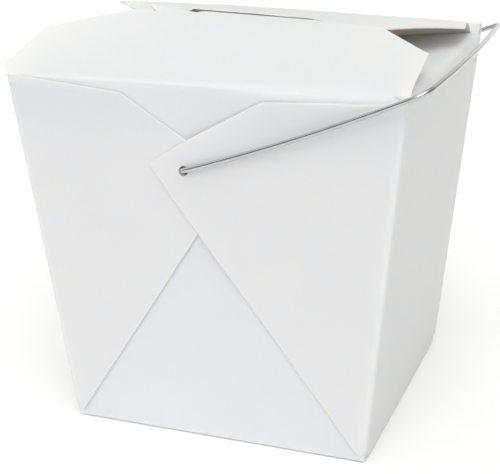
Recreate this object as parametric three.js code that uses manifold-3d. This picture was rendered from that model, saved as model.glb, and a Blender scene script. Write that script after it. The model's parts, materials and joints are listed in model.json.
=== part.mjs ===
// A folded paperboard food pail with a wire bail, shut.
//
// Lengths are millimetres and +Z is up. The origin is the middle of the base. The front wall faces -Y and
// carries the lid, the back wall carries the back flap, and the two plain walls face -X and +X.
// The carton is one piece of folded board, so it is one solid, and the bail is one bent wire.

import * as THREE from 'three';
import { mergeVertices } from 'three/addons/utils/BufferGeometryUtils.js';
import Module from 'manifold-3d';

const wasm = await Module();
wasm.setup();

// ---- Driving dimensions ------------------------------------------------------------------------

const BOARD = 0.45; // one thickness of board
const HEIGHT = 105; // base to the folds of the lid and the back flap
const BASE_WIDTH = 90;
const TOP_WIDTH = 112;
const BASE_DEPTH = 84.8;
const TOP_DEPTH = 92.8;

const CORNER_RADIUS = 1.5; // upright corners
const BASE_FOLD = 0.6; // round of the fold at the base
const SIDE_FOLD = 3; // soft fold between a plain wall and its side flap
const SIDE_FLAP_DROP = 0.6; // how far the folded-in side flaps lie below the folds
const FOLD_BEAD = 0.7; // radius of the lid's and the back flap's folds

// Each wall with a wire hole is covered by two gussets folded flat, each a double layer of board.
// Their outlines are given in the wall's own plane: across the wall, and up its slope from the base.
const GUSSET = 2 * BOARD;
const GUSSET_RAMP = { from: 50, to: 14 }; // where the upper gusset climbs over the lower one
const CREASE_LEFT = [-44.1, 0.5];
const CREASE_RIGHT = [44.1, 0.5];
const CREASE_CROSSING = [-0.7, 64.8];
const TIP = [-14.3, 82.8];
const NOTCH = [-3.5, 89.9];
const SHOULDER_RIGHT = [18.3, 101.6];
const SHOULDER_LEFT = [-22, 101.8];
const TOP_EDGE_RIGHT = [58, 102.8];
const TOP_EDGE_LEFT = [-58, 105.2];
const WALL_MARGIN = 4; // how far a cutter reaches past the edge that it cuts

// The lid and the back flap lean on each other, so the top is a low tent, a little twisted.
const LID_SLOPE = 0.307;
const LID_TWIST = 0.063; // more slope at the left end, less at the right
const LID_CORNER = { x: 56.2, y: -22.5 };
const LID_SHOULDER = { x: 39, y: -8.9 };
const SLIT = { x: 1.6, halfWidth: 20.5, y: -7.3 };
const TONGUE_LENGTH = 2;
const FLAP_SIDE = { x: 54, y: 21 };
const FLAP_FRONT = { x: 33, y: -9.5 };
const FLAP_HINGE_HALF_WIDTH = 55;
const FLAP_ARCH = 3.4; // rise of the back flap above a straight line, in its middle
const FLAP_ARCH_FALL = 0.9; // how much less it rises at its two ends
const FLAP_TUCK = 0.25; // how deep the back flap's front edge sits in the lid beside the slit

const WIRE_RADIUS = 0.7;
const WIRE_SIDES = 10;
const WIRE_STEPS = 150;
const PIVOT = { x: -4.3, z: 82 };
const HOLE_RADIUS = 1.1;
const HOLE_BOTTOM = 41.5; // distance of the hole's blind end from the middle plane
const BAIL_ANGLE = THREE.MathUtils.degToRad(20.7); // above the horizontal, towards +X
const BAIL_REACH = 70.5; // pivot axis to the ends of the grip
const BAIL_BOW = 1.7; // how far the grip bows out at its middle
const BAIL_HALF_SPAN = 48.1; // middle plane to a leg
const BAIL_BEND = 4;
const STUB_BEND = 1.6;
const STUB_END = 42.6; // distance of a stub's tip from the middle plane

const BOARD_COLOUR = 0xf1f1ee;
const WIRE_COLOUR = 0xb9bdc2;

// How finely curved faces are divided, and how close two vertices are before they count as one.
const QUARTER = Math.PI / 2;
const BASE_FOLD_STEPS = 2;
const SIDE_FOLD_STEPS = 4;
const CORNER_STEPS = 4;
const ROUND_SIDES = 16;
const SHEET_STEPS = { x: 16, y: 10 };
const WELD_DISTANCE = 1e-4;

// ---- Solids ------------------------------------------------------------------------------------

/** The closed solid that a geometry bounds. */
function solidOf(geometry) {
  const bare = geometry.clone();
  bare.deleteAttribute('normal');
  bare.deleteAttribute('uv');
  const merged = mergeVertices(bare, WELD_DISTANCE);
  return new wasm.Manifold(new wasm.Mesh({
    numProp: 3,
    vertProperties: new Float32Array(merged.attributes.position.array),
    triVerts: new Uint32Array(merged.index.array),
  }));
}

/** The geometry of a solid's surface. */
function geometryOf(solid) {
  const mesh = solid.getMesh();
  const geometry = new THREE.BufferGeometry();
  geometry.setAttribute('position', new THREE.BufferAttribute(mesh.vertProperties, 3));
  geometry.setIndex(new THREE.BufferAttribute(mesh.triVerts, 1));
  geometry.computeVertexNormals();
  return geometry;
}

/** Moves every vertex of a geometry to the place that a function gives for it. */
function reshape(geometry, place) {
  const position = geometry.attributes.position;
  const point = new THREE.Vector3();
  for (let i = 0; i < position.count; i += 1) {
    point.fromBufferAttribute(position, i);
    place(point);
    position.setXYZ(i, point.x, point.y, point.z);
  }
  return geometry;
}

/** A closed shape through points that are [across, up] pairs. */
function polygon(points) {
  return new THREE.Shape(points.map(([across, up]) => new THREE.Vector2(across, up)));
}

/** A prism over a polygon, from one height to another along its own Z. */
function prism(points, from, to) {
  const geometry = new THREE.ExtrudeGeometry(polygon(points), { depth: to - from, bevelEnabled: false });
  return geometry.translate(0, 0, from);
}

// ---- Carton body -------------------------------------------------------------------------------

/** A rectangle with round corners, centred on the origin. */
function roundedRectangle(width, depth, radius) {
  const x = width / 2 - radius;
  const y = depth / 2 - radius;
  const shape = new THREE.Shape();
  shape.absarc(x, y, radius, 0, QUARTER, false);
  shape.absarc(-x, y, radius, QUARTER, 2 * QUARTER, false);
  shape.absarc(-x, -y, radius, 2 * QUARTER, 3 * QUARTER, false);
  shape.absarc(x, -y, radius, 3 * QUARTER, 4 * QUARTER, false);
  shape.closePath();
  return shape;
}

/** Width and depth of the tapered body at a height. */
function sizeAt(z) {
  const share = z / HEIGHT;
  return {
    width: BASE_WIDTH + (TOP_WIDTH - BASE_WIDTH) * share,
    depth: BASE_DEPTH + (TOP_DEPTH - BASE_DEPTH) * share,
  };
}

/** The heights at which the body's section is set: a small round at the base, a soft fold on top. */
function bodyLevels() {
  const top = HEIGHT - SIDE_FLAP_DROP;
  const levels = [];
  for (let i = 0; i <= BASE_FOLD_STEPS; i += 1) {
    const turn = QUARTER * (i / BASE_FOLD_STEPS);
    const z = BASE_FOLD * (1 - Math.cos(turn));
    const inset = 2 * BASE_FOLD * (1 - Math.sin(turn));
    const size = sizeAt(z);
    levels.push({ z, width: size.width - inset, depth: size.depth - inset });
  }
  for (let i = 0; i <= SIDE_FOLD_STEPS; i += 1) {
    const turn = QUARTER * (i / SIDE_FOLD_STEPS);
    const z = top - SIDE_FOLD * (1 - Math.sin(turn));
    const size = sizeAt(z);
    levels.push({ z, width: size.width - 2 * SIDE_FOLD * (1 - Math.cos(turn)), depth: size.depth });
  }
  return levels;
}

/** The tapered body, up to the level of the side flaps that lie folded in under the lid. */
function bodySolid() {
  const levels = bodyLevels();
  const steps = levels.length - 1;
  // An arc gets twice as many segments as curveSegments says.
  const options = { depth: steps, steps, bevelEnabled: false, curveSegments: CORNER_STEPS / 2 };
  const section = roundedRectangle(TOP_WIDTH, TOP_DEPTH, CORNER_RADIUS);
  const geometry = new THREE.ExtrudeGeometry(section, options);
  return solidOf(reshape(geometry, (point) => {
    const level = levels[Math.round(point.z)];
    point.x *= level.width / TOP_WIDTH;
    point.y *= level.depth / TOP_DEPTH;
    point.z = level.z;
  }));
}

// ---- Gussets on the front and back walls ---------------------------------------------------------

/** Puts a geometry made in a wall's plane (x across, y up the slope, z outwards) onto the front wall. */
function onFrontWall(geometry) {
  const lean = Math.atan2((TOP_DEPTH - BASE_DEPTH) / 2, HEIGHT);
  const across = new THREE.Vector3(1, 0, 0);
  const up = new THREE.Vector3(0, -Math.sin(lean), Math.cos(lean));
  const out = new THREE.Vector3().crossVectors(across, up);
  const frame = new THREE.Matrix4().makeBasis(across, up, out);
  frame.setPosition(0, -BASE_DEPTH / 2, 0);
  return geometry.applyMatrix4(frame);
}

/** The same geometry, or its copy turned half round to the back wall. */
function onWall(geometry, isBack) {
  const placed = onFrontWall(geometry);
  return solidOf(isBack ? placed.rotateZ(Math.PI) : placed);
}

/** The bare wall's triangle below the two creases, which the gussets leave a double layer lower. */
function lowerTriangle() {
  const below = -WALL_MARGIN;
  const outline = [
    [CREASE_LEFT[0], below], [CREASE_RIGHT[0], below], CREASE_RIGHT, CREASE_CROSSING, CREASE_LEFT,
  ];
  return prism(outline, -GUSSET, WALL_MARGIN);
}

/** The bare wall above the gussets' cut edges, up to the fold on top. */
function upperNotch() {
  const above = HEIGHT + WALL_MARGIN;
  const outline = [
    NOTCH, SHOULDER_RIGHT, TOP_EDGE_RIGHT, [TOP_EDGE_RIGHT[0], above], [TOP_EDGE_LEFT[0], above],
    TOP_EDGE_LEFT, SHOULDER_LEFT,
  ];
  return prism(outline, -GUSSET, WALL_MARGIN);
}

/** The upper gusset's extra height where it climbs over the lower one. */
function upperGusset(isBack) {
  const outline = [CREASE_RIGHT, [GUSSET_RAMP.from, TOP_EDGE_RIGHT[1]], SHOULDER_RIGHT, NOTCH, TIP];
  const sheet = prism(outline, -GUSSET / 2, WALL_MARGIN);
  const left = TIP[0] - WALL_MARGIN;
  const profile = [
    [left, -GUSSET], [GUSSET_RAMP.from, -GUSSET], [GUSSET_RAMP.from, 0],
    [GUSSET_RAMP.to, GUSSET], [left, GUSSET],
  ];
  // The profile is drawn across and outwards, then stood up along the wall.
  const ramp = prism(profile, -HEIGHT - WALL_MARGIN, WALL_MARGIN).rotateX(QUARTER);
  return onWall(sheet, isBack).intersect(onWall(ramp, isBack));
}

// ---- Lid and back flap -----------------------------------------------------------------------------

const FRONT_FOLD_Y = -(TOP_DEPTH / 2 - GUSSET);
const BACK_FOLD_Y = TOP_DEPTH / 2 - GUSSET;

/** Height of the lid's upper face. */
function lidHeight(x, y) {
  const slope = LID_SLOPE - (LID_TWIST * x) / (TOP_WIDTH / 2);
  return HEIGHT + (y - FRONT_FOLD_Y) * slope;
}

/** Height of the back flap's upper face: an arch from its fold to its front edge at the slit. */
function backFlapHeight(x, y) {
  const length = BACK_FOLD_Y - SLIT.y;
  const share = (BACK_FOLD_Y - y) / length;
  const inSlit = Math.abs(x - SLIT.x) < SLIT.halfWidth;
  const edge = lidHeight(x, SLIT.y) + (inSlit ? BOARD : -FLAP_TUCK);
  const arch = FLAP_ARCH - FLAP_ARCH_FALL * ((2 * x) / TOP_WIDTH) ** 2;
  return HEIGHT + (edge - HEIGHT) * share + 4 * arch * share * (1 - share);
}

/** A sheet of board under a height function, cut to an outline seen from above. */
function sheetSolid(height, outline, fromY, toY) {
  const width = TOP_WIDTH + WALL_MARGIN;
  const block = new THREE.BoxGeometry(width, toY - fromY, BOARD, SHEET_STEPS.x, SHEET_STEPS.y);
  block.translate(0, (fromY + toY) / 2, -BOARD / 2);
  const sheet = solidOf(reshape(block, (point) => {
    point.z += height(point.x, point.y);
  }));
  return sheet.intersect(solidOf(prism(outline, HEIGHT / 2, 2 * HEIGHT)));
}

function lidSolid() {
  const half = TOP_WIDTH / 2;
  const end = SLIT.y + TONGUE_LENGTH;
  const left = SLIT.x - SLIT.halfWidth;
  const right = SLIT.x + SLIT.halfWidth;
  const outline = [
    [-half, FRONT_FOLD_Y], [half, FRONT_FOLD_Y],
    [LID_CORNER.x, LID_CORNER.y], [LID_SHOULDER.x, LID_SHOULDER.y],
    [right, SLIT.y], [right, end], [left, end], [left, SLIT.y],
    [-LID_SHOULDER.x, LID_SHOULDER.y], [-LID_CORNER.x, LID_CORNER.y],
  ];
  return sheetSolid(lidHeight, outline, FRONT_FOLD_Y - WALL_MARGIN, end + WALL_MARGIN);
}

function backFlapSolid() {
  const half = FLAP_HINGE_HALF_WIDTH;
  const left = SLIT.x - SLIT.halfWidth;
  const right = SLIT.x + SLIT.halfWidth;
  const outline = [
    [half, BACK_FOLD_Y], [-half, BACK_FOLD_Y], [-FLAP_SIDE.x, FLAP_SIDE.y], [-FLAP_FRONT.x, FLAP_FRONT.y],
    [left, FLAP_FRONT.y], [left, SLIT.y], [right, SLIT.y], [right, FLAP_FRONT.y],
    [FLAP_FRONT.x, FLAP_FRONT.y], [FLAP_SIDE.x, FLAP_SIDE.y],
  ];
  return sheetSolid(backFlapHeight, outline, FLAP_FRONT.y - WALL_MARGIN, BACK_FOLD_Y + WALL_MARGIN);
}

/** The rounded fold along the top of the front or back wall. */
function foldBead(halfWidth, y) {
  const bead = new THREE.CylinderGeometry(FOLD_BEAD, FOLD_BEAD, 2 * halfWidth, ROUND_SIDES);
  bead.rotateZ(QUARTER);
  return solidOf(bead.translate(0, y, HEIGHT - FOLD_BEAD));
}

// ---- Carton ----------------------------------------------------------------------------------------

/** The blind hole on both walls that a stub of the bail turns in. */
function holeSolid(isBack) {
  const outer = TOP_DEPTH / 2 + WALL_MARGIN;
  const bore = new THREE.CylinderGeometry(HOLE_RADIUS, HOLE_RADIUS, outer - HOLE_BOTTOM, ROUND_SIDES);
  const middle = (outer + HOLE_BOTTOM) / 2;
  return solidOf(bore.translate(PIVOT.x, isBack ? middle : -middle, PIVOT.z));
}

function cartonSolid() {
  let carton = bodySolid();
  for (const isBack of [false, true]) {
    carton = carton.subtract(onWall(lowerTriangle(), isBack));
    carton = carton.subtract(onWall(upperNotch(), isBack));
    carton = carton.add(upperGusset(isBack));
  }
  carton = carton.add(lidSolid());
  carton = carton.add(backFlapSolid());
  carton = carton.add(foldBead(TOP_WIDTH / 2 - CORNER_RADIUS, FRONT_FOLD_Y + FOLD_BEAD));
  carton = carton.add(foldBead(FLAP_HINGE_HALF_WIDTH, BACK_FOLD_Y - FOLD_BEAD));
  for (const isBack of [false, true]) {
    carton = carton.subtract(holeSolid(isBack));
  }
  return carton;
}

// ---- Bail --------------------------------------------------------------------------------------------

/** The wire's centre line, flat in the bail's own plane: x from the pivot axis, y from wall to wall. */
class BailRoute extends THREE.Curve {
  constructor() {
    super();
    const half = BAIL_HALF_SPAN;
    const inner = half - BAIL_BEND;
    const reach = BAIL_REACH - BAIL_BEND;
    this.path = new THREE.Path();
    this.path.moveTo(0, -STUB_END);
    this.path.lineTo(0, STUB_BEND - half);
    this.path.absarc(STUB_BEND, STUB_BEND - half, STUB_BEND, 2 * QUARTER, 3 * QUARTER, false);
    this.path.lineTo(reach, -half);
    this.path.absarc(reach, -inner, BAIL_BEND, -QUARTER, 0, false);
    this.path.quadraticCurveTo(BAIL_REACH + 2 * BAIL_BOW, 0, BAIL_REACH, inner);
    this.path.absarc(reach, inner, BAIL_BEND, 0, QUARTER, false);
    this.path.lineTo(STUB_BEND, half);
    this.path.absarc(STUB_BEND, half - STUB_BEND, STUB_BEND, QUARTER, 2 * QUARTER, false);
    this.path.lineTo(0, STUB_END);
  }

  getPoint(t, target = new THREE.Vector3()) {
    const point = this.path.getPoint(t);
    return target.set(point.x, point.y, 0);
  }
}

function bailGeometry() {
  const section = new THREE.Shape();
  section.absarc(0, 0, WIRE_RADIUS, 0, 2 * Math.PI, false);
  const options = {
    extrudePath: new BailRoute(), steps: WIRE_STEPS, curveSegments: WIRE_SIDES / 2, bevelEnabled: false,
  };
  return geometryOf(solidOf(new THREE.ExtrudeGeometry(section, options)));
}

// ---- Scene graph ---------------------------------------------------------------------------------------

const boardMaterial = new THREE.MeshStandardMaterial({ color: BOARD_COLOUR, roughness: 0.55, metalness: 0 });
const wireMaterial = new THREE.MeshStandardMaterial({ color: WIRE_COLOUR, roughness: 0.3, metalness: 1 });

const carton = new THREE.Mesh(geometryOf(cartonSolid()), boardMaterial);
carton.name = 'carton';

const bail = new THREE.Group();
bail.position.set(PIVOT.x, 0, PIVOT.z);
bail.rotation.y = -BAIL_ANGLE;
const wire = new THREE.Mesh(bailGeometry(), wireMaterial);
wire.name = 'wire_handle';
bail.add(wire);

const pail = new THREE.Group();
pail.add(carton, bail);

export default pail;
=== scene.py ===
"""A shut takeaway food pail: one blank of white board, folded up and locked, with a wire bail.

Lengths are millimetres until a mesh is made, and metres in the meshes. +Z is up, the front wall faces
-Y and the origin is the middle of the base. Every piece of board is a Sheet: a flat outline that is
meshed, bent onto its place by a surface function and given the thickness and the edges of real board.
"""

from __future__ import annotations

import json
import logging
import math
from dataclasses import dataclass, field
from enum import Enum, IntEnum
from typing import Callable, Sequence

import bpy
import numpy as np
from mathutils import Matrix, Vector
from mathutils.geometry import delaunay_2d_cdt

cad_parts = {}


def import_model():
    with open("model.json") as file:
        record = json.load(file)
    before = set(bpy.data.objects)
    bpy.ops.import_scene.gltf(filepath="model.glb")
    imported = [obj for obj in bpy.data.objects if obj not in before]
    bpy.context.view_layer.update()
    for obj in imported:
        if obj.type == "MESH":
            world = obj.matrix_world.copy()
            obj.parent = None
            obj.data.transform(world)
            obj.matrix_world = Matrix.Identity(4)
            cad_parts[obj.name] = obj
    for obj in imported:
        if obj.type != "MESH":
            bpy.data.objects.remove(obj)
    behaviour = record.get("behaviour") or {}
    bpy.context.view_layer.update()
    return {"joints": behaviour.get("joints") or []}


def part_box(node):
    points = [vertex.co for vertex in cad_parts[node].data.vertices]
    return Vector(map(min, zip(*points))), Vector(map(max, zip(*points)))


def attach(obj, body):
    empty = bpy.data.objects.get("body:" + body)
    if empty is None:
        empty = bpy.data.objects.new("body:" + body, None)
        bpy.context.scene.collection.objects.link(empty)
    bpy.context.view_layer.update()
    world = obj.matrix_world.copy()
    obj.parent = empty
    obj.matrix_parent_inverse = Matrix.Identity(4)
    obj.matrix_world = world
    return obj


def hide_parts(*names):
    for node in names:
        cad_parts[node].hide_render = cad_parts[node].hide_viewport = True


LOG = logging.getLogger("food_pail")
MM = 0.001
NORMAL_STEP = 0.02  # half the distance over which a surface's slope is taken
LEAST_LENGTH = 1e-12
ROUNDING = 1e-9
TINY = 1e-6
WAVE_SPREAD = (0.7, 1.6)  # shortest and longest plane wave of a ripple, as shares of its typical one
CORNER_SHARE = 0.45  # most of an edge that one rounded corner may take
SAMPLE_GAP = 0.12  # least distance between two samples of an edge
LINE_GAP = 0.05  # least distance between two grid lines
DRIFT_ROUNDS = 3
WEAR_REACH = 2.5  # how far from a fold the coating is worked
Surface = Callable[[np.ndarray], np.ndarray]
Scalar = Callable[[np.ndarray], np.ndarray]
Drift = Callable[[np.ndarray, np.ndarray], np.ndarray]
Colour = tuple[float, float, float, float]
WHITE: Colour = (1.0, 1.0, 1.0, 1.0)


# ---- Small maths ---------------------------------------------------------------------------------


def smooth(value: np.ndarray) -> np.ndarray:
    """Eases from 0 to 1 while the value goes from 0 to 1."""
    t = np.clip(value, 0.0, 1.0)
    return t * t * (3.0 - 2.0 * t)


def unit(vectors: np.ndarray) -> np.ndarray:
    """The same vectors, one per row, with length one."""
    return vectors / np.maximum(np.linalg.norm(vectors, axis=-1, keepdims=True), LEAST_LENGTH)


def angle_between(a: np.ndarray, b: np.ndarray) -> float:
    """The angle between two unit vectors."""
    return math.acos(float(np.clip(a @ b, -1.0, 1.0)))


def ripple(a: np.ndarray, b: np.ndarray, seed: int, wave: float, count: int = 9) -> np.ndarray:
    """A smooth random field over two coordinates, from about -1 to 1.

    Args:
        a: First coordinate, in millimetres.
        b: Second coordinate, in millimetres.
        seed: Which of the fields it is.
        wave: Typical distance from one crest to the next, in millimetres.
        count: How many plane waves are added up.

    Returns:
        The field's value at each point.
    """
    random = np.random.default_rng(seed)
    total = np.zeros_like(a, dtype=float)
    for _ in range(count):
        angle = random.uniform(0.0, math.tau)
        length = wave * random.uniform(*WAVE_SPREAD)
        phase = random.uniform(0.0, math.tau)
        total += np.sin((a * math.cos(angle) + b * math.sin(angle)) * math.tau / length + phase)
    return total / math.sqrt(count)


# ---- Sizes ---------------------------------------------------------------------------------------


@dataclass(frozen=True)
class PailSizes:
    """Driving dimensions of the folded pail.

    Wall points are [across, up the slope] pairs in the plane of the front wall.
    """

    top_half_width: float
    pivot_x: float
    pivot_z: float
    height: float = 105.0
    board: float = 0.45
    base_half_width: float = 45.0
    base_half_depth: float = 43.4
    top_half_depth: float = 46.5
    base_corner: float = 1.7
    top_corner: float = 0.7
    base_fold: float = 0.5
    base_lift: float = 0.35
    base_lift_height: float = 3.0
    base_lift_reach: float = 9.0
    top_fold: float = 1.0
    fold_room: float = 0.1
    crease_left: tuple[float, float] = (-44.1, 0.5)
    crease_right: tuple[float, float] = (44.1, 0.5)
    tip_upper: tuple[float, float] = (-14.3, 82.8)
    tip_lower: tuple[float, float] = (10.3, 81.0)
    notch: tuple[float, float] = (-3.5, 89.9)
    shoulder_right: tuple[float, float] = (18.3, 101.6)
    shoulder_left: tuple[float, float] = (-22.0, 101.8)
    top_edge_right: float = 102.8
    top_edge_left: float = 105.2
    hole_radius: float = 1.4
    hole_shift: tuple[float, float] = (0.15, -0.25)

    @classmethod
    def from_frame(cls, joint: dict) -> PailSizes:
        """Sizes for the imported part: the pivot from its joint and the width from its box.

        Args:
            joint: The record's entry for the bail's hinge.

        Returns:
            The sizes, in millimetres.
        """
        _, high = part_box("carton")
        pivot = joint["pos_m"]
        return cls(top_half_width=high.x / MM, pivot_x=pivot[0] / MM, pivot_z=pivot[2] / MM)

    @property
    def gusset(self) -> float:
        """Thickness of a gusset, which is two layers of board."""
        return 2.0 * self.board

    @property
    def lean(self) -> float:
        """Angle by which the front and back walls lean out."""
        return math.atan2(self.top_half_depth - self.base_half_depth, self.height)

    @property
    def side_lean(self) -> float:
        """Angle by which the two plain walls lean out."""
        return math.atan2(self.top_half_width - self.base_half_width, self.height)

    @property
    def fold_y(self) -> float:
        """Distance from the middle to the folds of the lid and of the back flap."""
        return self.top_half_depth - self.gusset - self.fold_room

    def _at(self, z: np.ndarray, base: float, top: float) -> np.ndarray:
        """A size at a height, from what it is at the base and at the top."""
        return base + (top - base) * z / self.height

    def half_width(self, z: np.ndarray) -> np.ndarray:
        """Half the outer width at a height."""
        return self._at(z, self.base_half_width, self.top_half_width)

    def half_depth(self, z: np.ndarray) -> np.ndarray:
        """Half the outer depth at a height, without the upper gusset."""
        return self._at(z, self.base_half_depth, self.top_half_depth)

    def corner(self, z: np.ndarray) -> np.ndarray:
        """Radius of the upright corners at a height."""
        return self._at(z, self.base_corner, self.top_corner)


@dataclass(frozen=True)
class Warp:
    """Slight waves of the panels, shared by all layers of a wall so that they stay apart.

    The first three sizes are heights of the waves, and the fades are how far they take to rise.
    """

    front: float = 0.16
    side: float = 0.22
    lid: float = 0.12
    wave: float = 70.0
    lid_wave: float = 60.0
    corner_rise: float = 4.0
    base_fade: float = 12.0
    top_fade: float = 8.0
    plain_top_fade: float = 20.0
    fold_fade: float = 12.0
    slit_calm: float = 6.0
    slit_fade: float = 8.0
    lid_seed: int = 5
    front_seed: int = 11
    back_seed: int = 12
    plain_seed: int = 21

    def _fade(self, share: np.ndarray, z: np.ndarray, below: np.ndarray, top_fade: float) -> np.ndarray:
        """How much of a wall's waves is left at a share of its half width, at a height."""
        inwards = 1.0 - np.clip(share, 0.0, 1.0)
        return smooth(inwards * self.corner_rise) * smooth(z / self.base_fade) * smooth(below / top_fade)

    def wall(self, x: np.ndarray, z: np.ndarray, sizes: PailSizes, seed: int) -> np.ndarray:
        """How far the front or back wall bows out at a point, none at its four sides."""
        fade = self._fade(np.abs(x) / sizes.half_width(z), z, sizes.height - z, self.top_fade)
        return self.front * fade * ripple(x, z, seed, self.wave)

    def plain_wall(self, y: np.ndarray, z: np.ndarray, sizes: PailSizes, seed: int) -> np.ndarray:
        """How far a plain wall bows out at a point, none at its upright corners and its base."""
        fade = self._fade(np.abs(y) / sizes.half_depth(z), z, sizes.height - z, self.plain_top_fade)
        return self.side * fade * ripple(y, z, seed, self.wave)

    def lid_waves(self, x: np.ndarray, y: np.ndarray, fold_y: float, slit_y: float) -> np.ndarray:
        """How far the lid waves at a point, none at its fold and near the slit."""
        wave = self.lid * ripple(x, y, self.lid_seed, self.lid_wave) * smooth((y + fold_y) / self.fold_fade)
        return wave * smooth((slit_y - self.slit_calm - y) / self.slit_fade)


# ---- Sheets of board -----------------------------------------------------------------------------


class Rim(Enum):
    """How an edge of the board is finished."""

    FOLD = "fold"
    CUT = "cut"


class Face(IntEnum):
    """Which of a sheet's materials a face has."""

    OUTER = 0
    EDGE = 1
    INNER = 2


@dataclass(frozen=True)
class Corner:
    """A corner of an outline, with the kind of edge that leaves it."""

    u: float
    v: float
    radius: float = 0.4
    rim: Rim = Rim.CUT


@dataclass
class Loop:
    """A closed line of samples in a sheet's own plane, material on its left.

    Attributes:
        points: The samples, one row each.
        cut: For each sample, whether the edge that follows it is cut board and not a fold.
    """

    points: np.ndarray
    cut: np.ndarray

    def outward(self) -> np.ndarray:
        """For each sample, the direction in the plane that points away from the material."""
        tangent = unit(np.roll(self.points, -1, 0) - np.roll(self.points, 1, 0))
        return np.stack([tangent[:, 1], -tangent[:, 0]], 1)

    @classmethod
    def from_corners(
        cls,
        corners: Sequence[Corner],
        u_lines: np.ndarray,
        v_lines: np.ndarray,
        drift: Drift | None = None,
    ) -> Loop:
        """Rounds the corners, and samples the edges where the grid lines cross them.

        Args:
            corners: The outline's corners, anticlockwise.
            u_lines: The grid's lines of constant u.
            v_lines: The grid's lines of constant v.
            drift: Gives how far the grid's points move across, where they do.

        Returns:
            The sampled loop.
        """
        arcs = [cls._arc(corners, i) for i in range(len(corners))]
        points: list[np.ndarray] = []
        cut: list[bool] = []
        for i, corner in enumerate(corners):
            is_cut = corner.rim is Rim.CUT
            before = corners[i - 1].rim is Rim.CUT
            arc = arcs[i]
            for k, point in enumerate(arc):
                points.append(point)
                cut.append(is_cut if k >= len(arc) // 2 else before)
            start, end = arc[-1], arcs[(i + 1) % len(corners)][0]
            for t in cls._crossings(start, end, u_lines, v_lines, drift):
                points.append(start + (end - start) * t)
                cut.append(is_cut)
        return cls(np.array(points), np.array(cut))

    @staticmethod
    def _arc(corners: Sequence[Corner], i: int, steps: int = 6) -> list[np.ndarray]:
        """The samples that round one corner of an outline."""
        here = corners[i]
        point = np.array([here.u, here.v])
        before = np.array([corners[i - 1].u, corners[i - 1].v])
        after_corner = corners[(i + 1) % len(corners)]
        after = np.array([after_corner.u, after_corner.v])
        to_before, to_after = unit(before - point), unit(after - point)
        reach = here.radius / math.tan(angle_between(to_before, to_after) / 2.0)
        shortest = min(np.linalg.norm(before - point), np.linalg.norm(after - point))
        reach = min(reach, CORNER_SHARE * float(shortest))
        start, end = point + to_before * reach, point + to_after * reach
        shares = np.linspace(0.0, 1.0, steps + 1)
        return [start * (1 - s) ** 2 + point * 2 * s * (1 - s) + end * s ** 2 for s in shares]

    @staticmethod
    def _crossings(
        start: np.ndarray, end: np.ndarray, u_lines: np.ndarray, v_lines: np.ndarray, drift: Drift | None
    ) -> list[float]:
        """Finds where an edge crosses the grid lines, leaving out crossings too close together.

        Args:
            start: The edge's start.
            end: The edge's end.
            u_lines: The grid's lines of constant u.
            v_lines: The grid's lines of constant v.
            drift: Gives how far the grid's points move across, where they do.

        Returns:
            Shares of the way along the edge.
        """
        run = end - start
        length = float(np.linalg.norm(run))
        shares: list[float] = []
        if abs(run[1]) > TINY:
            shares += [float(share) for share in (v_lines - start[1]) / run[1]]
        if abs(run[0]) > TINY:
            across = (u_lines - start[0]) / run[0]
            for _ in range(0 if drift is None else DRIFT_ROUNDS):
                level = start[1] + np.clip(across, 0.0, 1.0) * run[1]
                across = (u_lines + drift(u_lines, level) - start[0]) / run[0]
            shares += [float(share) for share in across]
        kept: list[float] = []
        gap = SAMPLE_GAP / max(length, TINY)
        for share in sorted(shares):
            if gap < share < 1.0 - gap and (not kept or share - kept[-1] > gap):
                kept.append(share)
        return kept

    @classmethod
    def circle(cls, u: float, v: float, radius: float, sides: int = 28) -> Loop:
        """A round hole, clockwise so that the material is on its left."""
        angles = -np.linspace(0.0, math.tau, sides, endpoint=False)
        points = np.stack([u + radius * np.cos(angles), v + radius * np.sin(angles)], 1)
        return cls(points, np.ones(sides, bool))


def inside(points: np.ndarray, loop: np.ndarray) -> np.ndarray:
    """Whether each point lies inside a closed loop, by counting crossings."""
    result = np.zeros(len(points), bool)
    following = np.roll(loop, -1, 0)
    for (x0, y0), (x1, y1) in zip(loop, following):
        if y0 == y1:
            continue
        spans = (y0 > points[:, 1]) != (y1 > points[:, 1])
        x_there = x0 + (points[:, 1] - y0) * (x1 - x0) / (y1 - y0)
        result ^= spans & (points[:, 0] < x_there)
    return result


def on_material(points: np.ndarray, rims: Sequence[np.ndarray]) -> np.ndarray:
    """Whether each point lies inside the first rim and outside all others."""
    result = inside(points, rims[0])
    for hole in rims[1:]:
        result &= ~inside(points, hole)
    return result


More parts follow.
